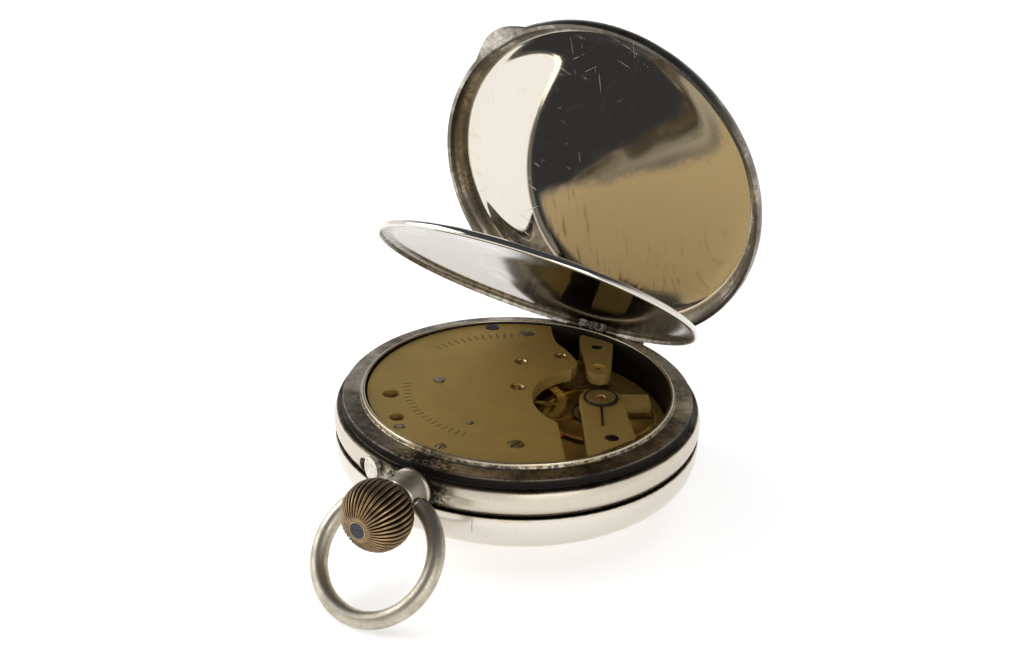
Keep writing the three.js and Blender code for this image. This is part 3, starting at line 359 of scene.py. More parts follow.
def fixed_spans(hinge, grow=0.0):
    inner, outer = hinge["leaf"] + clearance - grow, hinge["half"] + grow
    return (-outer, -inner), (inner, outer)


def pin_hole(hinge):
    return rod(hinge["pin"] + clearance / 2, -hinge["half"] - 1, hinge["half"] + 1, hinge["y"], hinge["z"])


def parts_of(finish, source="made"):
    """Where a point is: its vector in mm, x, y, z and its distance from the axis."""
    if source == "made":
        where = finish.node("Attribute", {"attribute_name": "made"}, {}, "Vector")
    else:
        metres = finish.node("TexCoord", {}, {}, "Object")
        where = finish.node("VectorMath", {"operation": "SCALE"}, {0: metres, "Scale": 1000.0})
    split = [finish.node("SeparateXYZ", {}, {"Vector": where}, axis) for axis in "XYZ"]
    x, y, z = split
    return where, x, y, z, (x * x + y * y) ** 0.5


def scratches(finish, where, count=3, length=9.0, keen=0.70):
    """Hairlines: noise drawn out along several directions, kept only at its peaks."""
    lines = None
    for i in range(count):
        turn = 0.5 + i * 2.1
        streak = finish.noise(finish.stretched(where, turn, (length, 0.13, 2.0)), 1.0, 2.0)
        line = streak.rises(keen, keen + 0.05)
        lines = line if lines is None else lines.or_(line)
    return lines


silver = (0.70, 0.655, 0.57, 1)
satin_silver = (0.60, 0.54, 0.44, 1)
warm_stain = (0.50, 0.37, 0.17, 1)
# The grey film and the black are tarnish colours, and on the case centre and the lid's split edge they also
# serve as painted shade.
grey_film_and_shade = (0.09, 0.072, 0.048, 1)
tarnish_and_shade_black = (0.022, 0.019, 0.017, 1)


def silver_case():
    """Worn silver: stained yellow beside the steps, with a brown film on the flat ring and the
    shoulder, the shoulder's film partly tarnish and partly painted shade, and black in the corners:
    painted shade down the step wall, along the split and in the bore, and black tarnish in specks."""
    finish = Finish("silver_case")
    where, x, y, z, r = parts_of(finish)
    cloud = finish.noise(where, 0.18, 5.0)
    speck = finish.noise(where, 1.6, 8.0, 0.7)
    grain = finish.noise(where, 9.0, 3.0)
    pendant_near = ((x * x + (y + 25.5) ** 2) ** 0.5).rises(7.5, 2.6)
    ring_face = z.rises(14.6, 14.95) * r.rises(21.3, 21.6) * r.rises(23.9, 23.65)
    film = ring_face * (speck * 0.5 + cloud - 0.1).rises(0.38, 0.85)
    # The shoulder has a grey film and black specks on it: partly tarnish and partly painted shade in the
    # step under the flat ring.
    shoulder = z.rises(13.3, 13.62) * r.rises(23.6, 23.78)
    film = film.or_(shoulder * 0.9)
    step = shoulder * (speck * 0.6 + cloud).rises(0.6, 1.1)
    # Painted shade: solid black down the step wall under the flat ring, along the split below the band and,
    # a little lighter, in the bore round the movement.
    wall = r.near(23.8, 0.09) * z.rises(14.9, 14.6)
    split = z.rises(10.34, 10.16)
    bore = r.rises(21.0, 20.9) * z.rises(15.66, 15.5)
    rim_wall = r.near(21.35, 0.2) * z.rises(15.6, 15.3) * speck.rises(0.3, 0.6)
    # The black holds painted shade from the step wall, split and bore, with tarnish on the shoulder, the
    # rim wall and round the pendant.
    black = step.or_(wall).or_(split).or_(bore * 0.85).or_(rim_wall * 0.8)
    black = black.or_(pendant_near * (speck + cloud * 0.6).rises(0.52, 0.85))
    stain = (z.rises(12.9, 13.7) + z.rises(11.1, 10.4) + pendant_near * 1.3) * (cloud + speck * 0.5)
    stain = stain.rises(0.34, 1.15) * 0.7
    pits = speck.rises(0.71, 0.78)
    color = finish.mix(stain, satin_silver, warm_stain)
    color = finish.mix(film, color, grey_film_and_shade)
    # The corners' painted shade and the tarnish go on in one black.
    color = finish.mix((black.or_(pits)).rises(0.05, 0.95), color, tarnish_and_shade_black)
    roughness = 0.2 + cloud * 0.14 + film * 0.12 + black * 0.25
    height = speck * 0.5 + grain * 0.2 - scratches(finish, where) * 0.5 - pits
    return finish.surface(color, roughness, 1.0, height, 0.012)


def case_centre():
    ledge_z, floor_z = 10.15, 7.9
    profile = [[24.5, split_z + 0.05], [band_r, 11.25], [band_r, 12.45], [24.6, shoulder_z],
               [ring_r, shoulder_z], [ring_r, ring_z], [seat_r, ring_z], [seat_r - 0.15, rim_z],
               [bore_r, rim_z], [bore_r, ledge_z], [21.6, ledge_z], [21.6, floor_z],
               [23.3, floor_z], [23.3, split_z + 0.05]]
    band = turned("case_centre", rounded(profile, 0.16, 3), 320)
    for hinge in (back_hinge, lid_hinge):
        cut(band, rod(hinge["r"] + clearance, -hinge["leaf"] - 0.04, hinge["leaf"] + 0.04,
                      hinge["y"], hinge["z"]))
    for hinge in (back_hinge, cuvette_hinge, lid_hinge):
        joined(band, *knuckles(hinge, fixed_spans(hinge)))
    for start, end in fixed_spans(cuvette_hinge):
        joined(band, block((start, end), (cuvette_hinge["y"] - 0.4, cuvette_hinge["y"] + 0.4),
                           (ring_z - 0.2, cuvette_hinge["z"])))
    stem_bore = [moved(rod(r, start, end), 0, 0, stem_z, Matrix.Rotation(math.pi / 2, 4, "Z"))
                 for r, start, end in ((1.3, -26, -21.7), (0.93, -22, -19))]
    aim_setting = about_z(setting_bearing) @ Matrix.Rotation(math.pi / 2, 4, "X")
    setting = [turned("tool", [[0, start], [r, start], [r, end], [0, end]], 64, loop=False)
               for r, start, end in ((1.08, 23.9, 26), (0.58, 20, 24))]
    for tool in setting:
        moved(tool, 0, 0, setting_z, aim_setting)
    catch_slot = block((-1.35, 1.35), (-24.2, -21), (6.9, 10.08))
    cut(band, *stem_bore, *setting, catch_slot, *map(pin_hole, (back_hinge, cuvette_hinge, lid_hinge)))
    fitted(band, silver_case(), "case_silver", "case", "case_centre")


case_centre()

# ---- Front lid -------------------------------
# The lid over the dial, which the watch lies on: a deep spun silver shell with a small flat
# middle. A fine split in the silver runs down its wall beside the bow.

split_bearing = math.radians(-72)


def silver_lid():
    finish = Finish("silver_front_lid")
    where, x, y, z, r = parts_of(finish)
    cloud = finish.noise(where, 0.16, 5.0)
    speck = finish.noise(where, 1.8, 8.0, 0.7)
    spin = finish.node("CombineXYZ", {}, {"X": r * 9.0, "Y": z * 9.0})
    turning = finish.noise(spin, 1.0, 2.0)
    across = x * math.sin(split_bearing) - y * math.cos(split_bearing)
    crack = across.near(0.0, 0.07) * z.rises(7.6, 8.2) * y.rises(0, -5)
    edge = z.rises(9.84, 9.96)
    stain = (z.rises(8.9, 9.9) * (cloud + speck * 0.4)).rises(0.4, 0.9) * 0.6
    pits = speck.rises(0.68, 0.75)
    color = finish.mix(stain, silver, warm_stain)
    # Black along the top edge at the split: partly tarnish, partly painted shade in the split.
    split_edge_tarnish_and_shade = edge * (speck + 0.3).rises(0.4, 0.9)
    color = finish.mix(pits.or_(crack * 0.9).or_(split_edge_tarnish_and_shade), color, tarnish_and_shade_black)
    wear = scratches(finish, where, 4)
    roughness = 0.19 + cloud * 0.12 + wear * 0.15 + z.rises(1.2, 0.1) * 0.15
    height = speck * 0.4 + turning * 0.15 - wear * 0.6 - crack - pits
    return finish.surface(color, roughness, 1.0, height, 0.012)


def lid_shell(name, outer, inner, segments=320):
    """A turned shell closed at both poles: the outer curve up to its pole, the inner one back,
    both kept within the range of their own points."""
    points = np.vstack([outer, inner])
    profile = np.clip(np.vstack([through(outer), through(inner)]), points.min(axis=0), points.max(axis=0))
    return turned(name, profile, segments, loop=True)


def front_lid():
    top = split_z - 0.05
    outer = [[24.9, top], [25.0, 8.65], [24.75, 6.95], [24.0, 5.65], [22.6, 4.55], [20.8, 3.5],
             [16, 1.4], [11, 0.02], [5, 0.0], [0, 0.0]]
    inner = [[0, 0.5], [5, 0.5], [10.9, 0.5], [15.75, 1.9], [20.5, 4.0], [22.2, 5.05], [23.5, 6.15],
             [24.2, 6.95], [24.4, 8.65], [24.4, top]]
    shell = lid_shell("front_lid", outer, inner)
    cut(shell, *knuckles(lid_hinge, fixed_spans(lid_hinge, clearance), clearance))
    leaf = lid_hinge["leaf"]
    joined(shell, *knuckles(lid_hinge, ((-leaf, leaf),)))
    cut(shell, pin_hole(lid_hinge))
    fitted(shell, silver_lid(), "case_silver", "front_lid", "front_lid")


front_lid()

# ---- Back cover ------------------------------
# The outer cover over the movement: spun silver, mirror polished inside, with a bevelled
# rim that snaps on the case's shoulder and a thumb lip to open it by.

back_cover_angle = math.radians(78.4)
lip_bearing = -124


def opened(hinge, angle):
    axis = Vector((0, hinge["y"], hinge["z"])) * 0.001
    return Matrix.Translation(axis) @ Matrix.Rotation(-angle, 4, "X") @ Matrix.Translation(-axis)


def mirror_silver():
    """Mirror silver with hairlines and brown spots, and a speckled film on its rim."""
    finish = Finish("silver_back_cover")
    where, *_, r = parts_of(finish)
    cloud = finish.noise(where, 0.13, 4.0)
    speck = finish.noise(where, 1.5, 8.0, 0.75)
    fine = finish.noise(where, 5.0, 5.0, 0.7)
    wear = scratches(finish, where, 4, 6.0, 0.73)
    rim = r.rises(22.5, 22.9)
    film = rim * (speck * 0.6 + cloud).rises(0.45, 0.85)
    edge_line = r.near(22.6, 0.12) + r.near(24.2, 0.12)
    spots = speck.rises(0.64, 0.72) * cloud.rises(0.45, 0.6)
    color = finish.mix(film * 0.85, silver, grey_film_and_shade)
    color = finish.mix(spots, color, warm_stain)
    color = finish.mix(rim * (speck * 0.6 + cloud).rises(0.85, 1.1) * 0.8, color, tarnish_and_shade_black)
    roughness = 0.03 + wear * 0.12 + film * 0.3 + spots * 0.3 + cloud * 0.02
    height = edge_line * 0.3 - wear * 0.3 + fine * rim * 0.7 - spots * 0.5
    return finish.surface(color, roughness, 1.0, height, 0.01)


def thumb_lip(rim):
    """A flat tongue: its reach follows a squared cosine either side of its middle."""
    angle = np.radians(np.linspace(-16.8, 16.8, 41))
    reach = 24.3 + 1.82 * np.cos(angle * 5.3) ** 2
    outer = np.stack([reach * np.cos(angle), reach * np.sin(angle)], axis=-1)
    inner = 24.2 * np.stack([np.cos(angle), np.sin(angle)], axis=-1)[::-1]
    return plate("lip", np.vstack([outer, inner]), rim + 0.15, rim + 0.75)


def plate(name, outline, low, high):
    """A flat piece: the outline at two heights, a wall between them and a face on each."""
    outline = np.asarray(outline, float)
    count = len(outline)
    levels = [np.column_stack([outline, np.full(count, level)]) for level in (low, high)]
    wall = quads(2, count, loop=False)
    faces = [list(range(count))[::-1], list(range(count, 2 * count))]
    return build(name, np.vstack(levels), wall + faces)


def back_cover():
    rim = shoulder_z + 0.12
    outer = [[24.55, 0], [24.73, 0.75], [24.55, 1.75], [23.8, 2.63], [22.4, 3.28], [19, 3.82],
             [11, 4.25], [5, 4.33], [0, 4.35]]
    inner = [[0, 3.85], [5, 3.83], [11, 3.75], [19, 3.35], [22.3, 2.78], [22.55, 2.62], [23.4, 2.05],
             [24.0, 1.35], [24.05, 0.6], [24.05, 0]]
    lift = np.array([0, rim])
    shell = lid_shell("back_cover", np.array(outer) + lift, np.array(inner) + lift)
    lip = moved(thumb_lip(rim), turn=about_z(lip_bearing))
    joined(shell, lip)
    cut(shell, *knuckles(back_hinge, fixed_spans(back_hinge, clearance), clearance))
    leaf = back_hinge["leaf"]
    joined(shell, *knuckles(back_hinge, ((-leaf, leaf),)))
    cut(shell, pin_hole(back_hinge))
    fitted(shell, mirror_silver(), "case_silver", "back_cover", "back_cover",
           place=opened(back_hinge, back_cover_angle))


back_cover()

# ---- Cuvette ---------------------------------
# The inner cover: thinner silver with a rolled bright rim, on its own small hinge soldered to
# the flat ring. Matt gilding on the hinge's side of its outer face gives the back cover's
# mirror the gold that it shows.

cuvette_angle = math.radians(36.4)


def cuvette_silver():
    finish = Finish("silver_cuvette")
    where, x, y, z, r = parts_of(finish)
    cloud = finish.noise(where, 0.15, 4.0)
    speck = finish.noise(where, 1.4, 8.0, 0.7)
    wear = scratches(finish, where, 3)
    under = z.rises(16.1, 15.7) * r.rises(20.2, 21.2) * r.rises(22.5, 22.3)
    crown_line = 17.0 - r * r * 0.0021
    outer_face = (z - crown_line).rises(-0.22, -0.12) * r.rises(21.4, 20.4)
    inner_face = (z - crown_line).rises(-0.14, -0.2) * r.rises(21.6, 20.8)
    streaks = finish.noise(finish.stretched(where, 1.1, (5.0, 0.7, 2.0)), 1.0, 3.0)
    hinge_grime = (((y - 22.0) * (y - 22.0) + x * x * 0.2) ** 0.5).rises(2.6, 1.2) * speck.rises(0.4, 0.6)
    gilding = finish.mix(streaks.rises(0.55, 0.7) * r.rises(12.0, 20.0), (1.0, 0.79, 0.44, 1), warm_stain)
    outer_face = outer_face * (y + x * 0.4 + cloud * 4.0).rises(3.5, 6.5)
    matte = outer_face * 0.8
    color = finish.mix(under * speck.rises(0.35, 0.7) * 0.8, silver, grey_film_and_shade)
    color = finish.mix(inner_face * cloud.rises(0.1, 0.5), color, (0.40, 0.36, 0.30, 1))
    color = finish.mix(outer_face, color, gilding)
    color = finish.mix(hinge_grime.or_(speck.rises(0.66, 0.73)), color, tarnish_and_shade_black)
    roughness = 0.05 + cloud * 0.05 + wear * 0.14 + under * 0.25 + outer_face * 0.3
    return finish.surface(color, roughness, 1.0 - matte, speck * 0.3 - wear * 0.4, 0.008)


def cuvette():
    rim = ring_z + 0.05
    outer = [[22.2, 0], [22.62, 0.06], [22.7, 0.33], [22.6, 0.66], [22.2, 0.93], [20, 1.3], [11, 1.78],
             [5, 1.92], [0, 1.95]]
    inner = [[0, 1.55], [5, 1.52], [11, 1.38], [20, 0.9], [21.9, 0.58], [22.1, 0.3]]
    lift = np.array([0, rim])
    shell = lid_shell("cuvette", np.array(outer) + lift, np.array(inner) + lift)
    hinge = cuvette_hinge
    edge = hinge["y"] - hinge["r"] - clearance
    across = hinge["half"] + clearance
    cut(shell, block((-across, across), (edge, 24), (rim - 1, rim + 3)))
    leaf = hinge["leaf"]
    joined(shell, block((-leaf, leaf), (21.5, hinge["y"]), (hinge["z"] - 0.1, rim + 0.95)),
           *knuckles(hinge, ((-leaf, leaf),)))
    cut(shell, pin_hole(hinge))
    fitted(shell, cuvette_silver(), "case_silver", "cuvette", "cuvette",
           place=opened(hinge, cuvette_angle))


cuvette()

# ---- Pendant and bow -------------------------
# The pendant is a nickel-silver neck soldered into the case with a rolled collar. The bow
# is a ring of round wire whose ends pivot in the neck.

bow_pivot_y, bow_tilt = -27.8, math.radians(47.2)
bow_ring_r, bow_offset, wire_r = 7.8, 7.42, 1.1


def nickel_silver():
    finish = Finish("worn_nickel")
    where, _, y, z, _ = parts_of(finish)
    cloud = finish.noise(where, 0.35, 5.0)
    speck = finish.noise(where, 2.5, 7.0, 0.7)
    brushed = finish.noise(finish.stretched(where, 0.0, (0.17, 0.7, 0.17)), 1.0, 3.0)
    dull = (cloud + speck * 0.4).rises(0.45, 0.95)
    base = (y.near(-25.3, 0.5) * z.rises(15.6, 14.5)) * (speck + 0.2).rises(0.4, 0.7)
    color = finish.mix(dull, (0.62, 0.56, 0.455, 1), (0.37, 0.33, 0.255, 1))
    color = finish.mix(speck.rises(0.72, 0.8).or_(base * 0.6), color, (0.07, 0.06, 0.05, 1))
    roughness = 0.31 + dull * 0.16 + brushed * 0.06
    return finish.surface(color, roughness, 1.0, brushed * 0.5 + speck * 0.5, 0.01)


nickel = nickel_silver()
along_y = Matrix.Rotation(math.pi / 2, 4, "X")


def pendant():
    bore = 0.93
    profile = [[bore, 21.75], [1.25, 21.75], [1.25, 25.15], [2.7, 25.15], [2.72, 25.45], [2.5, 25.75],
               [2.5, 28.3], [2.3, 28.6], [bore, 28.6]]
    neck = turned("pendant", rounded(profile, 0.14, 4), 128)
    moved(neck, 0, 0, stem_z, along_y)
    cut(neck, rod(0.68, -4, 4, bow_pivot_y, stem_z))
    fitted(neck, nickel, "pendant_nickel", "case", "pendant")


def bow():
    """Wire carried round a circle: centre plus the ring radius outwards, and round that line
    the wire radius outwards and across, drawn in where each end meets the neck."""
    start = math.asin(2.62 / bow_ring_r)
    along = np.linspace(start, 2 * np.pi - start, 241)
    left = np.minimum(along - start, along[-1] - along) * bow_ring_r
    thick = wire_r * (1 - 0.22 * np.clip(1 - left / 0.35, 0, 1) ** 2)
    around = np.linspace(0, 2 * np.pi, 48, endpoint=False)
    reach = bow_ring_r + thick[:, None] * np.cos(around)
    corners = np.stack([reach * np.sin(along)[:, None], reach * np.cos(along)[:, None] - bow_offset,
                        thick[:, None] * np.sin(around)], axis=-1)
    faces = quads(len(along), len(around), loop=False)
    last = len(along) * len(around)
    faces += [list(range(len(around)))[::-1], list(range(last - len(around), last))]
    wire = build("bow", corners, faces)
    joined(wire, rod(0.6, 1.5, 3.4, 0, 0), rod(0.6, -3.4, -1.5, 0, 0))
    hang = Matrix.Translation(Vector((0, bow_pivot_y, stem_z)) * 0.001) @ Matrix.Rotation(bow_tilt, 4, "X")
    fitted(wire, nickel, "pendant_nickel", "bow", "bow", place=hang)


pendant()
bow()

# ---- Crown -----------------------------------
# A hollow brass ball with rolled flutes, worn bright on its ridges and black between them,
# closed at the end by a blue-grey steel disc.

crown_y, flutes = -32.5, 38
on_stem = Matrix.Translation(Vector((0, crown_y, stem_z)) * 0.001) @ along_y


def crown_brass():
    finish = Finish("worn_crown_brass")
    where, *_ = parts_of(finish)
    groove = finish.node("Attribute", {"attribute_name": "groove"}, {}, "Fac")
    cloud = finish.noise(where, 0.5, 5.0)
    speck = finish.noise(where, 3.0, 7.0, 0.7)
    dirt = (groove + speck * 0.35 - 0.15).rises(0.3, 0.62)
    dull = (cloud + speck * 0.3).rises(0.4, 0.9)
    color = finish.mix(dull, (0.40, 0.27, 0.13, 1), (0.16, 0.105, 0.06, 1))
    color = finish.mix(dirt, color, (0.012, 0.010, 0.009, 1))
    roughness = 0.26 + dull * 0.2 + dirt * 0.3
    return finish.surface(color, roughness, 1.0, speck, 0.012)


def crown():
    """A fluted ball: the profile's radius less a groove that follows one minus the sine of
    half the flute angle, fading out at both ends."""
    ball = through([[2.6, -2.98], [3.7, -2.3], [4.3, -1.1], [4.45, 0.15], [4.1, 1.75], [3.0, 3.15],
                    [1.7, 3.9]], 9)
    profile = np.vstack([[[0.7, -1.2], [0.7, -3.05], [2.2, -3.05]], ball, [[1.45, 3.98], [1.25, 3.95],
                        [1.25, 3.72], [0, 3.72]], [[0, -1.2]]])
    columns = flutes * 16
    angle = np.linspace(0, 2 * np.pi, columns, endpoint=False)
    r, z = profile[:, :1], np.repeat(profile[:, 1:], columns, axis=1)
    depth = 1 - np.abs(np.sin(angle * flutes / 2))
    fade = np.clip((r - 1.5) / 0.9, 0, 1) * (z[:, :1] > -3.0)
    fluted = r - 0.42 * depth ** 1.5 * fade
    corners = np.stack([fluted * np.cos(angle), fluted * np.sin(angle), z], axis=-1)
    piece = build("crown", corners, quads(len(profile), columns, loop=True))
    positions = np.empty(len(piece.data.vertices) * 3, np.float32)
    piece.data.vertices.foreach_get("co", positions)
    positions = positions.reshape(-1, 3)
    bearing = np.arctan2(positions[:, 1], positions[:, 0])
    radius = np.hypot(positions[:, 0], positions[:, 1]) * 1000
    groove = (1 - np.abs(np.sin(bearing * flutes / 2))) * np.clip((radius - 1.3) / 0.6, 0, 1)
    marks = piece.data.attributes.new("groove", "FLOAT", "POINT")
    marks.data.foreach_set("value", groove.astype(np.float32))
    fitted(piece, crown_brass(), "crown_brass", "crown", "crown", place=on_stem, smooth=50)


def blued_disc():
    finish = Finish("blued_end_disc")
    where, *_, r = parts_of(finish)
    rings = finish.noise(finish.node("CombineXYZ", {}, {"X": r * 14.0}), 1.0, 2.0)
    speck = finish.noise(where, 4.0, 6.0)
    edge = r.rises(1.0, 1.1)
    color = finish.mix(speck.rises(0.35, 0.7), (0.04, 0.043, 0.055, 1), (0.075, 0.078, 0.085, 1))
    color = finish.mix(edge, color, (0.42, 0.31, 0.16, 1))
    return finish.surface(color, 0.33 + rings * 0.1, 1.0, rings, 0.006)


def crown_cap():
    profile = [[0, 3.76], [1.2, 3.76], [1.2, 3.98], [1.1, 4.04], [1.0, 4.0], [0.6, 4.02], [0, 4.03]]
    disc = turned("crown_cap", profile, 96, loop=False)
    fitted(disc, blued_disc(), "dark_steel", "crown", "crown_cap", place=on_stem)


crown()
crown_cap()

# ---- Three-quarter plate ---------------------
# The gilt back plate: frosted brass with a fine bevel, bushed holes and a border of short
# engraved strokes along its rim.

centre, barrel, third, fourth = (0, 0), (-10.08, -4.32), (-3.56, 6.88), (0.34, 11.59)
balance, escape, crown_wheel = (11.06, 3.28), (6.13, 11.95), (0, -12.2)
plate_low, plate_top, plate_r = 13.4, 15.3, 20.5
plate_screws = ((-7.66, 15.61), (7.79, -13.64))
small_screws = ((-7.05, -17.98), (0.17, -19.21))
case_screw = (19.4 * math.cos(math.radians(131.9)), 19.4 * math.sin(math.radians(131.9)))
cock_screw, escape_screw = (17.16, -5.4), (2.98, 17.72)


def arc(r, start, end, steps, middle=(0, 0)):
    angle = np.radians(np.linspace(start, end, steps + 1))
    return np.stack([middle[0] + r * np.cos(angle), middle[1] + r * np.sin(angle)], axis=-1)


def gilt(name, engraved=False, source="made"):
    """Frosted gilding: pale gold over brass, greyer where it is thin, dark in the engraving."""
    finish = Finish(name)
    where, x, y, z, r = parts_of(finish, source)
    cloud = finish.noise(where, 0.12, 4.0)
    frost = finish.noise(where, 14.0, 3.0, 0.7)
    speck = finish.noise(where, 2.2, 8.0, 0.7)
    thin = (cloud + speck * 0.25).rises(0.45, 0.85)
    color = finish.mix(thin, (0.59, 0.42, 0.135, 1), (0.50, 0.37, 0.13, 1))
    height = frost * 1.2
    dark = speck.rises(0.7, 0.78) * 0.6
    if engraved:
        angle = y.math("ARCTAN2", y, x)
        strokes = abs(y.math("SINE", angle * 48.0))
        upper = r.near(16.3, 1.0).rises(0.1, 0.2) * abs(angle - 2.5).rises(0.42, 0.38)
        lower = r.near(15.2, 0.7).rises(0.1, 0.2) * abs(angle + 2.05).rises(0.62, 0.58)
        lines = (upper + lower) * strokes.rises(0.5, 0.35)
        top = z.rises(15.2, 15.28)
        dark = dark.or_(lines * top * 0.6)
        height = height - lines * top * 3.0
    color = finish.mix(dark, color, (0.09, 0.065, 0.03, 1))
    roughness = 0.58 + thin * 0.06 + dark * 0.1
    return finish.surface(color, roughness, 1.0, height, 0.012)


def drilled(r, point, low, high=16.5, segments=48):
    return moved(turned("drill", [[0, low], [r, low], [r, high], [0, high]], segments, loop=False), *point)


def bevelled(piece, width=0.05, segments=2):
    """Breaks the sharp edges of a machined piece."""
    edge = piece.modifiers.new("bevel", "BEVEL")
    edge.width = width * 0.001
    edge.segments = segments
    edge.limit_method = "ANGLE"
    edge.angle_limit = math.radians(40)
    edge.use_clamp_overlap = True
    return applied(piece)


def three_quarter_plate():
    shoulder = through([[3.3, 11.1], [1.7, 12.5], [-0.3, 13.9], [-2.3, 15.1], [-4.1, 17.1]], 4)
    outline = np.vstack([arc(plate_r, 106.6, 317.3, 160), arc(9.3, 260, 144, 60, balance), shoulder])
    piece = plate("three_quarter_plate", outline, plate_low, plate_top)
    holes = [(0.5, centre, 12), (0.25, third, 12), (0.25, fourth, 12), (0.78, barrel, 12),
             (0.5, crown_wheel, 12), (1.15, (-13.26, -11.18), 12), (1.0, (-8.79, -16.09), 12),
             (1.05, case_screw, 14.9), (1.1, centre, 14.7), (1.0, third, 14.8), (1.0, fourth, 14.8)]
    holes += [(0.5, point, 12) for point in plate_screws]
    holes += [(1.15, point, 14.7) for point in plate_screws]
    holes += [(0.75, point, 14.9) for point in small_screws]
    cut(piece, *[drilled(r, point, low) for r, point, low in holes])
    bevelled(piece, 0.06)
    fitted(piece, gilt("gilt_engraved_plate", engraved=True), "gilt_plate", "case", "three_quarter_plate",
           smooth=20)


def polished_brass(name, source="made", tone=(0.82, 0.67, 0.34, 1)):
    finish = Finish(name)
    where, *_ = parts_of(finish, source)
    cloud = finish.noise(where, 0.6, 4.0)
    speck = finish.noise(where, 4.0, 6.0, 0.7)
    color = finish.mix((cloud + speck * 0.4).rises(0.45, 0.95), tone, (0.30, 0.20, 0.085, 1))
    return finish.surface(color, 0.22 + cloud * 0.15, 1.0, speck, 0.008)


bushing_brass = polished_brass("bushing_brass")


def bushing(name, point, r, hole, low):
    """A pressed brass bush: a raised lip round a dished oil sink, with the pivot hole in it."""
    top = plate_top + 0.05
    profile = [[hole, low], [r, low], [r, top - 0.02], [r - 0.08, top], [r - 0.2, top - 0.03],
               [r * 0.7, plate_top - 0.12], [hole + 0.12, plate_top - 0.2], [hole, plate_top - 0.26]]
    piece = moved(turned(name, profile, 72), *point)
    fitted(piece, bushing_brass, "train_brass", "case")


three_quarter_plate()
bushing("centre_bushing", centre, 1.08, 0.5, 14.72)
bushing("third_bushing", third, 0.98, 0.25, 14.82)
bushing("fourth_bushing", fourth, 0.98, 0.25, 14.82)

# ---- Cocks -----------------------------------
# Two gilt bridges stand in the open quarter: the broad balance cock with its round head
# and stud arm, and the narrow escape cock from the rim.

cock_low, cock_top, head_r = 13.5, 15.2, 2.85


def trimmed_to_rim(piece, r=20.4):
    """Leaves only what is inside the movement's edge."""
    outside = turned("outside", [[r, 8], [40, 8], [40, 18], [r, 18]], 200)
    return cut(piece, outside)


gilt_cock = gilt("gilt_cocks")


def balance_cock():
    arm = plate("balance_cock", [[17.0, -11.3], [19.9, -4.0], [13.3, 5.0], [8.9, 1.6]], 10.55, cock_top)
    cut(arm, moved(drilled(9.0, (0, 0), 5, cock_low, 96), *balance))
    trimmed_to_rim(arm)
    stud_arm = [[11.5, 4.9], [12.9, 6.6], [15.67, 8.38], [17.26, 5.97], [14.1, 3.9], [12.6, 3.2]]
    joined(arm, drilled(head_r, balance, cock_low, cock_top, 96),
           plate("stud_arm", stud_arm, cock_low + 0.2, cock_top - 0.3))
    cut(arm, drilled(0.28, balance, 12, 14.6), drilled(0.5, cock_screw, 9),
        drilled(0.95, cock_screw, 14.75))
    bevelled(arm, 0.06)
    fitted(arm, gilt_cock, "gilt_plate", "case", "balance_cock", smooth=20)


def escape_cock():
    nose = through([[5.0, 10.7], [5.6, 10.0], [6.4, 9.6], [7.3, 9.7], [8.0, 10.2], [8.3, 11.0],
                    [8.1, 12.1]], 5)
    outline = np.vstack([[[-0.7, 19.3]], nose, [[4.4, 20.2], [-0.9, 20.2]]])
    body = plate("escape_cock", outline, 10.55, 15.0)
    cut(body, turned("relief", [[0, 5], [17.6, 5], [17.6, 13.45], [0, 13.45]], 200, loop=False))
    trimmed_to_rim(body)
    cut(body, drilled(0.28, escape, 12), drilled(0.4, escape_screw, 9), drilled(0.85, escape_screw, 14.6),
        drilled(0.95, escape, 14.7))
    bevelled(body, 0.12)
    fitted(body, gilt_cock, "gilt_plate", "case", "escape_cock", smooth=20)


balance_cock()
escape_cock()

# ---- Screws ----------------------------------
# Cheese-head steel screws with domed heads and milled slots, dull and yellowed; the case
# screw and those of the two cocks are blued.


def screw_steel(name, tone, dark):
    finish = Finish(name)
    where, *_ = parts_of(finish)
    speck = finish.noise(where, 3.0, 7.0, 0.7)
    brushed = finish.noise(finish.stretched(where, 0.6, (0.5, 0.055, 0.25)), 1.0, 3.0)
    color = finish.mix(speck.rises(0.4, 0.75), tone, dark)
    return finish.surface(color, 0.28 + brushed * 0.12, 1.0, brushed + speck, 0.006)


grey_screw = screw_steel("screw_steel", (0.46, 0.40, 0.25, 1), (0.20, 0.165, 0.09, 1))
blued_screw = screw_steel("blued_screw_steel", (0.09, 0.09, 0.11, 1), (0.04, 0.035, 0.03, 1))


def screw(name, point, head_r, shank_r, foot, under, top, slot_bearing, finish, slot):
    profile = [[0, foot], [shank_r, foot], [shank_r, under], [head_r, under], [head_r, top - 0.16],
               [head_r - 0.05, top - 0.07], [head_r - 0.16, top - 0.03], [head_r * 0.5, top - 0.005],
               [0, top]]
    body = turned(name, profile, 72, loop=False)
    across = head_r * 0.13
    cut(body, moved(block((-head_r - 1, head_r + 1), (-across, across), (top - 0.24, top + 1)),
                    turn=about_z(slot_bearing)))
    moved(body, *point)
    fitted(body, finish, slot, "case", name)


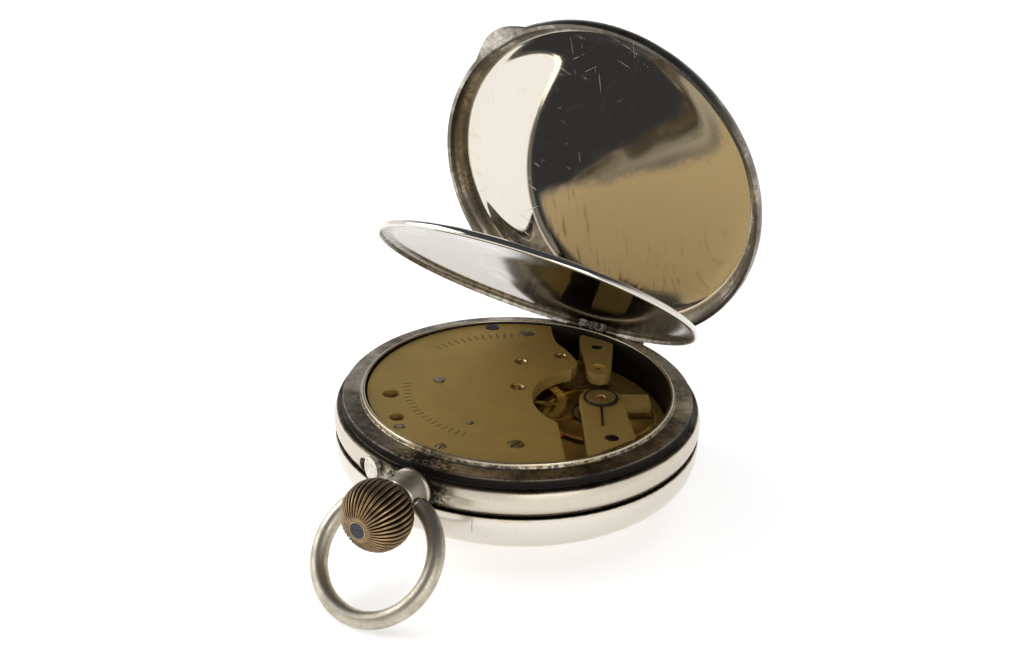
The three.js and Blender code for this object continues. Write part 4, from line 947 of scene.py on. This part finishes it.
screw("plate_screw_1", plate_screws[0], 1.1, 0.45, 12.2, 14.75, 15.3, 15, grey_screw, "steel")
screw("plate_screw_2", plate_screws[1], 1.1, 0.45, 12.2, 14.75, 15.3, 80, grey_screw, "steel")
screw("small_screw_1", small_screws[0], 0.7, 0.35, 14.93, 14.95, 15.28, 40, grey_screw, "steel")
screw("small_screw_2", small_screws[1], 0.7, 0.35, 14.93, 14.95, 15.28, 100, grey_screw, "steel")
screw("case_screw", case_screw, 1.0, 0.4, 14.93, 14.95, 15.4, 60, blued_screw, "steel")
screw("balance_cock_screw", cock_screw, 0.9, 0.45, 9.7, 14.8, 15.2, 30, blued_screw, "blued_steel")
screw("escape_cock_screw", escape_screw, 0.8, 0.35, 9.7, 14.65, 15.0, 55, blued_screw, "blued_steel")

# ---- Regulator -------------------------------
# A dark steel ring clipped on the cock's head, with a thin tail over the cock, under a gilt
# cap that holds the balance's end stone and is fixed by two tiny screws.

regulator_z = 15.25


def cap_and_ring():
    """Steel outside and in the tail, gilt on the cap, amber in the stone, by distance from the
    balance's axis."""
    finish = Finish("regulator_and_cap")
    where, x, y, *_ = parts_of(finish)
    speck = finish.noise(where, 4.0, 6.0, 0.7)
    from_balance = ((x - balance[0]) ** 2 + (y - balance[1]) ** 2) ** 0.5
    cap = from_balance.rises(2.02, 1.96)
    stone = from_balance.rises(0.5, 0.45)
    beside = ((x - balance[0]) ** 2 + (abs(y - balance[1]) - 1.35) ** 2) ** 0.5
    screw_heads = beside.rises(0.2, 0.16)
    color = finish.mix(speck.rises(0.3, 0.7), (0.05, 0.048, 0.05, 1), (0.10, 0.09, 0.08, 1))
    color = finish.mix(cap, color, (0.58, 0.45, 0.19, 1))
    color = finish.mix(screw_heads, color, (0.45, 0.45, 0.46, 1))
    color = finish.mix(stone, color, (0.22, 0.05, 0.02, 1))
    roughness = 0.36 - stone * 0.28 + speck * 0.1
    height = speck - beside.near(0.2, 0.05) * 2.0
    return finish.surface(color, roughness, 1.0 - stone * 0.8, height, 0.008)


def regulator():
    z = regulator_z
    aim = math.degrees(math.atan2(cock_screw[1] - balance[1], cock_screw[0] - balance[0])) - 6
    ring = [[0, z], [2.4, z], [2.4, z + 0.2], [2.32, z + 0.25], [2.06, z + 0.25], [2.0, z + 0.2],
            [1.98, z + 0.21], [1.9, z + 0.245], [1.6, z + 0.23], [0.62, z + 0.22], [0.5, z + 0.12],
            [0.44, z + 0.12], [0.3, z + 0.19], [0, z + 0.21]]
    body = moved(turned("regulator", ring, 128, loop=False), *balance)
    tail = [arc(r, aim + turn, aim + turn, 0, balance)[0]
            for r, turn in ((2.1, -5), (7.6, -0.9), (7.6, 0.9), (2.1, 5))]
    joined(body, plate("tail", tail, z, z + 0.18))
    fitted(body, cap_and_ring(), "blued_steel", "regulator", "regulator")


regulator()

# ---- Balance ---------------------------------
# The balance is a brass ring with two arms and a row of copper-coloured timing screws round
# its rim, on a steel staff that carries the roller and its impulse pin.


def balance_metal():
    """Brass rim and arms, copper-red screws beyond the rim, steel within the staff's radius."""
    finish = Finish("balance_brass_and_copper")
    where, *_, r = parts_of(finish)
    speck = finish.noise(where, 3.0, 6.0, 0.7)
    copper_screws = r.rises(7.72, 7.78)
    staff = r.rises(1.3, 1.2)
    color = finish.mix(speck.rises(0.35, 0.8), (0.66, 0.47, 0.19, 1), (0.38, 0.25, 0.10, 1))
    color = finish.mix(copper_screws, color, (0.46, 0.15, 0.06, 1))
    color = finish.mix(staff, color, (0.36, 0.36, 0.37, 1))
    return finish.surface(color, 0.24 + speck * 0.12, 1.0, speck, 0.008)


def balance_wheel():
    rim_r, low, high = 7.7, 12.05, 12.8
    arm_bearing, timing_screws = 35, 12
    section = [[rim_r - 0.7, low], [rim_r, low], [rim_r, high], [rim_r - 0.7, high]]
    wheel = turned("balance_wheel", rounded(section, 0.08, 2), 192)
    arms = block((-7.3, 7.3), (-0.45, 0.45), (low + 0.1, low + 0.45))
    joined(wheel, moved(arms, turn=about_z(arm_bearing)))
    for i in range(timing_screws):
        head = rod(0.33, rim_r - 0.3, rim_r + 0.35, 0, (low + high) / 2, 20)
        joined(wheel, moved(head, turn=about_z((i + 0.5) * 360 / timing_screws)))
    staff = [[0, 9.3], [0.18, 9.3], [0.18, 10.6], [0.35, 10.6], [0.35, 11.55], [1.15, 11.55], [1.15, 11.8],
             [0.35, 11.8], [0.35, 12.1], [0.6, 12.1], [0.6, 12.6], [0.35, 12.6], [0.35, 13.4], [0.18, 13.4],
             [0.18, 14.5], [0, 14.5]]
    joined(wheel, turned("staff", staff, 48, loop=False))
    towards_lever = math.atan2(escape[1] - balance[1], escape[0] - balance[0])
    pin_at = (math.cos(towards_lever), math.sin(towards_lever))
    joined(wheel, moved(turned("pin", [[0, 11.2], [0.12, 11.2], [0.12, 11.6], [0, 11.6]], 16, loop=False),
                        *pin_at))
    place = Matrix.Translation(Vector((*balance, 0)) * 0.001)
    fitted(wheel, balance_metal(), "balance_alloy", "balance", "balance_wheel", place=place)


balance_wheel()

# ---- Steel parts -----------------------------
# Arbors, pinions, pins, springs and the winding wheels: ground steel, with a circular grain on
# the ratchet and crown wheels, and blued where it is a spring or a hand.


def finished(finish, *names):
    for name in names:
        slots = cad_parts[name].data.materials
        slots.clear()
        slots.append(finish)


def ground_steel(name, tone, dark, middle=(0, 0), circles=True):
    """Steel with a grain in circles about an axis, or straight across it."""
    finish = Finish(name)
    where, x, y, *_ = parts_of(finish, "object")
    from_axis = ((x - middle[0]) ** 2 + (y - middle[1]) ** 2) ** 0.5
    lines = finish.node("CombineXYZ", {}, {"X": (from_axis if circles else x) * 12.0})
    grain = finish.noise(lines, 1.0, 3.0)
    speck = finish.noise(where, 3.0, 6.0, 0.7)
    color = finish.mix((speck + grain * 0.3).rises(0.4, 0.9), tone, dark)
    return finish.surface(color, 0.24 + grain * 0.16, 1.0, grain + speck, 0.006)


bright, shade = (0.50, 0.50, 0.50, 1), (0.24, 0.23, 0.21, 1)
blue, deep_blue = (0.05, 0.075, 0.20, 1), (0.03, 0.035, 0.09, 1)
finished(ground_steel("ground_steel", bright, shade, circles=False), "back_cover_hinge_pin",
         "cuvette_hinge_pin", "front_lid_hinge_pin", "winding_stem", "winding_pinion", "stem_sleeve",
         "lid_catch", "setting_pin", "crown_wheel_stud", "click", "click_stud", "barrel_arbor",
         "pallet_fork", "cannon_pinion", "minute_wheel_stud")
finished(ground_steel("ratchet_steel", bright, shade, barrel), "ratchet_wheel")
finished(ground_steel("crown_wheel_steel", bright, shade, crown_wheel), "crown_wheel")
finished(ground_steel("blued_spring_steel", blue, deep_blue, balance), "hairspring")
finished(ground_steel("mainspring_steel", (0.20, 0.21, 0.25, 1), deep_blue, barrel), "mainspring")
finished(ground_steel("blued_hands", blue, deep_blue, circles=False), "hour_hand", "minute_hand",
         "seconds_hand")

# ---- Brass parts -----------------------------
# The train wheels, the barrel and its cover, and the motion work are polished brass. The main
# plate is frosted and gilded like the other plates.

finished(polished_brass("train_brass", "object"), "barrel", "barrel_cover", "centre_wheel",
         "third_wheel", "fourth_wheel", "escape_wheel", "minute_wheel", "hour_wheel")
finished(gilt("gilt_main_plate", source="object"), "main_plate")

# ---- Dial side -------------------------------
# A white enamel dial under the front lid, with hour batons, a minute track and a sunk small
# seconds dial opposite the pendant, under a silver bezel and a domed glass.


def enamel_dial():
    """White enamel. A baton shows where the angle is near a twelfth of a turn, and a minute
    stroke where it is near a sixtieth, each within its own band of radius."""
    finish = Finish("enamel_dial")
    where, x, y, _, r = parts_of(finish, "object")
    speck = finish.noise(where, 2.0, 7.0, 0.7)
    crazing = finish.noise(where, 0.5, 8.0, 0.8)

    def strokes(dx, dy, count, middle, half, width):
        angle = dy.math("ARCTAN2", dy, dx)
        wave = abs(dy.math("SINE", angle * (count / 2)))
        radius = (dx * dx + dy * dy) ** 0.5
        line = (wave * radius * (2 / count)).rises(width, width * 0.7)
        return line * radius.near(middle, half).rises(0.05, 0.15)

    away = y - fourth[1]
    seconds_r = (x * x + away * away) ** 0.5
    outside_seconds = seconds_r.rises(4.2, 4.3)
    hours = strokes(x, y, 12, 15.6, 2.4, 0.42) * outside_seconds
    minutes = strokes(x, y, 60, 19.0, 0.8, 0.11)
    tracks = r.near(19.5, 0.1).or_(r.near(18.5, 0.1))
    seconds = strokes(x, away, 60, 3.5, 0.6, 0.05).or_(seconds_r.near(3.9, 0.06))
    print_mask = hours.or_(minutes).or_(tracks).or_(seconds)
    color = finish.mix(crazing.rises(0.5, 0.9), (0.86, 0.85, 0.80, 1), (0.78, 0.75, 0.66, 1))
    color = finish.mix(print_mask.rises(0.2, 0.8), color, (0.015, 0.015, 0.018, 1))
    return finish.surface(color, 0.12 + speck * 0.08, 0.0, speck + print_mask, 0.006)


def watch_glass():
    finish = Finish("watch_glass")
    where, *_ = parts_of(finish, "object")
    smear = finish.noise(where, 0.3, 5.0)
    glass = {"Transmission Weight": 1.0, "IOR": 1.5}
    return finish.surface((0.97, 0.98, 0.98, 1), 0.01 + smear * 0.05, 0.0, smear, 0.002, **glass)


def bezel_silver():
    finish = Finish("bezel_silver")
    where, x, y, z, r = parts_of(finish, "object")
    speck = finish.noise(where, 1.8, 8.0, 0.7)
    turning = finish.noise(finish.node("CombineXYZ", {}, {"X": r * 10.0, "Y": z * 10.0}), 1.0, 2.0)
    near_pendant = ((x * x + (y + 25.0) ** 2) ** 0.5).rises(11.0, 7.0)
    crescent = near_pendant * speck.rises(0.45, 0.75)
    color = finish.mix(speck.rises(0.6, 0.9) * 0.6, silver, warm_stain)
    color = finish.mix(crescent * 0.7, color, tarnish_and_shade_black)
    return finish.surface(color, 0.2 + speck * 0.15, 1.0, turning + speck, 0.01)


finished(enamel_dial(), "dial")
finished(watch_glass(), "crystal")
finished(bezel_silver(), "bezel", "setting_pin_guard")
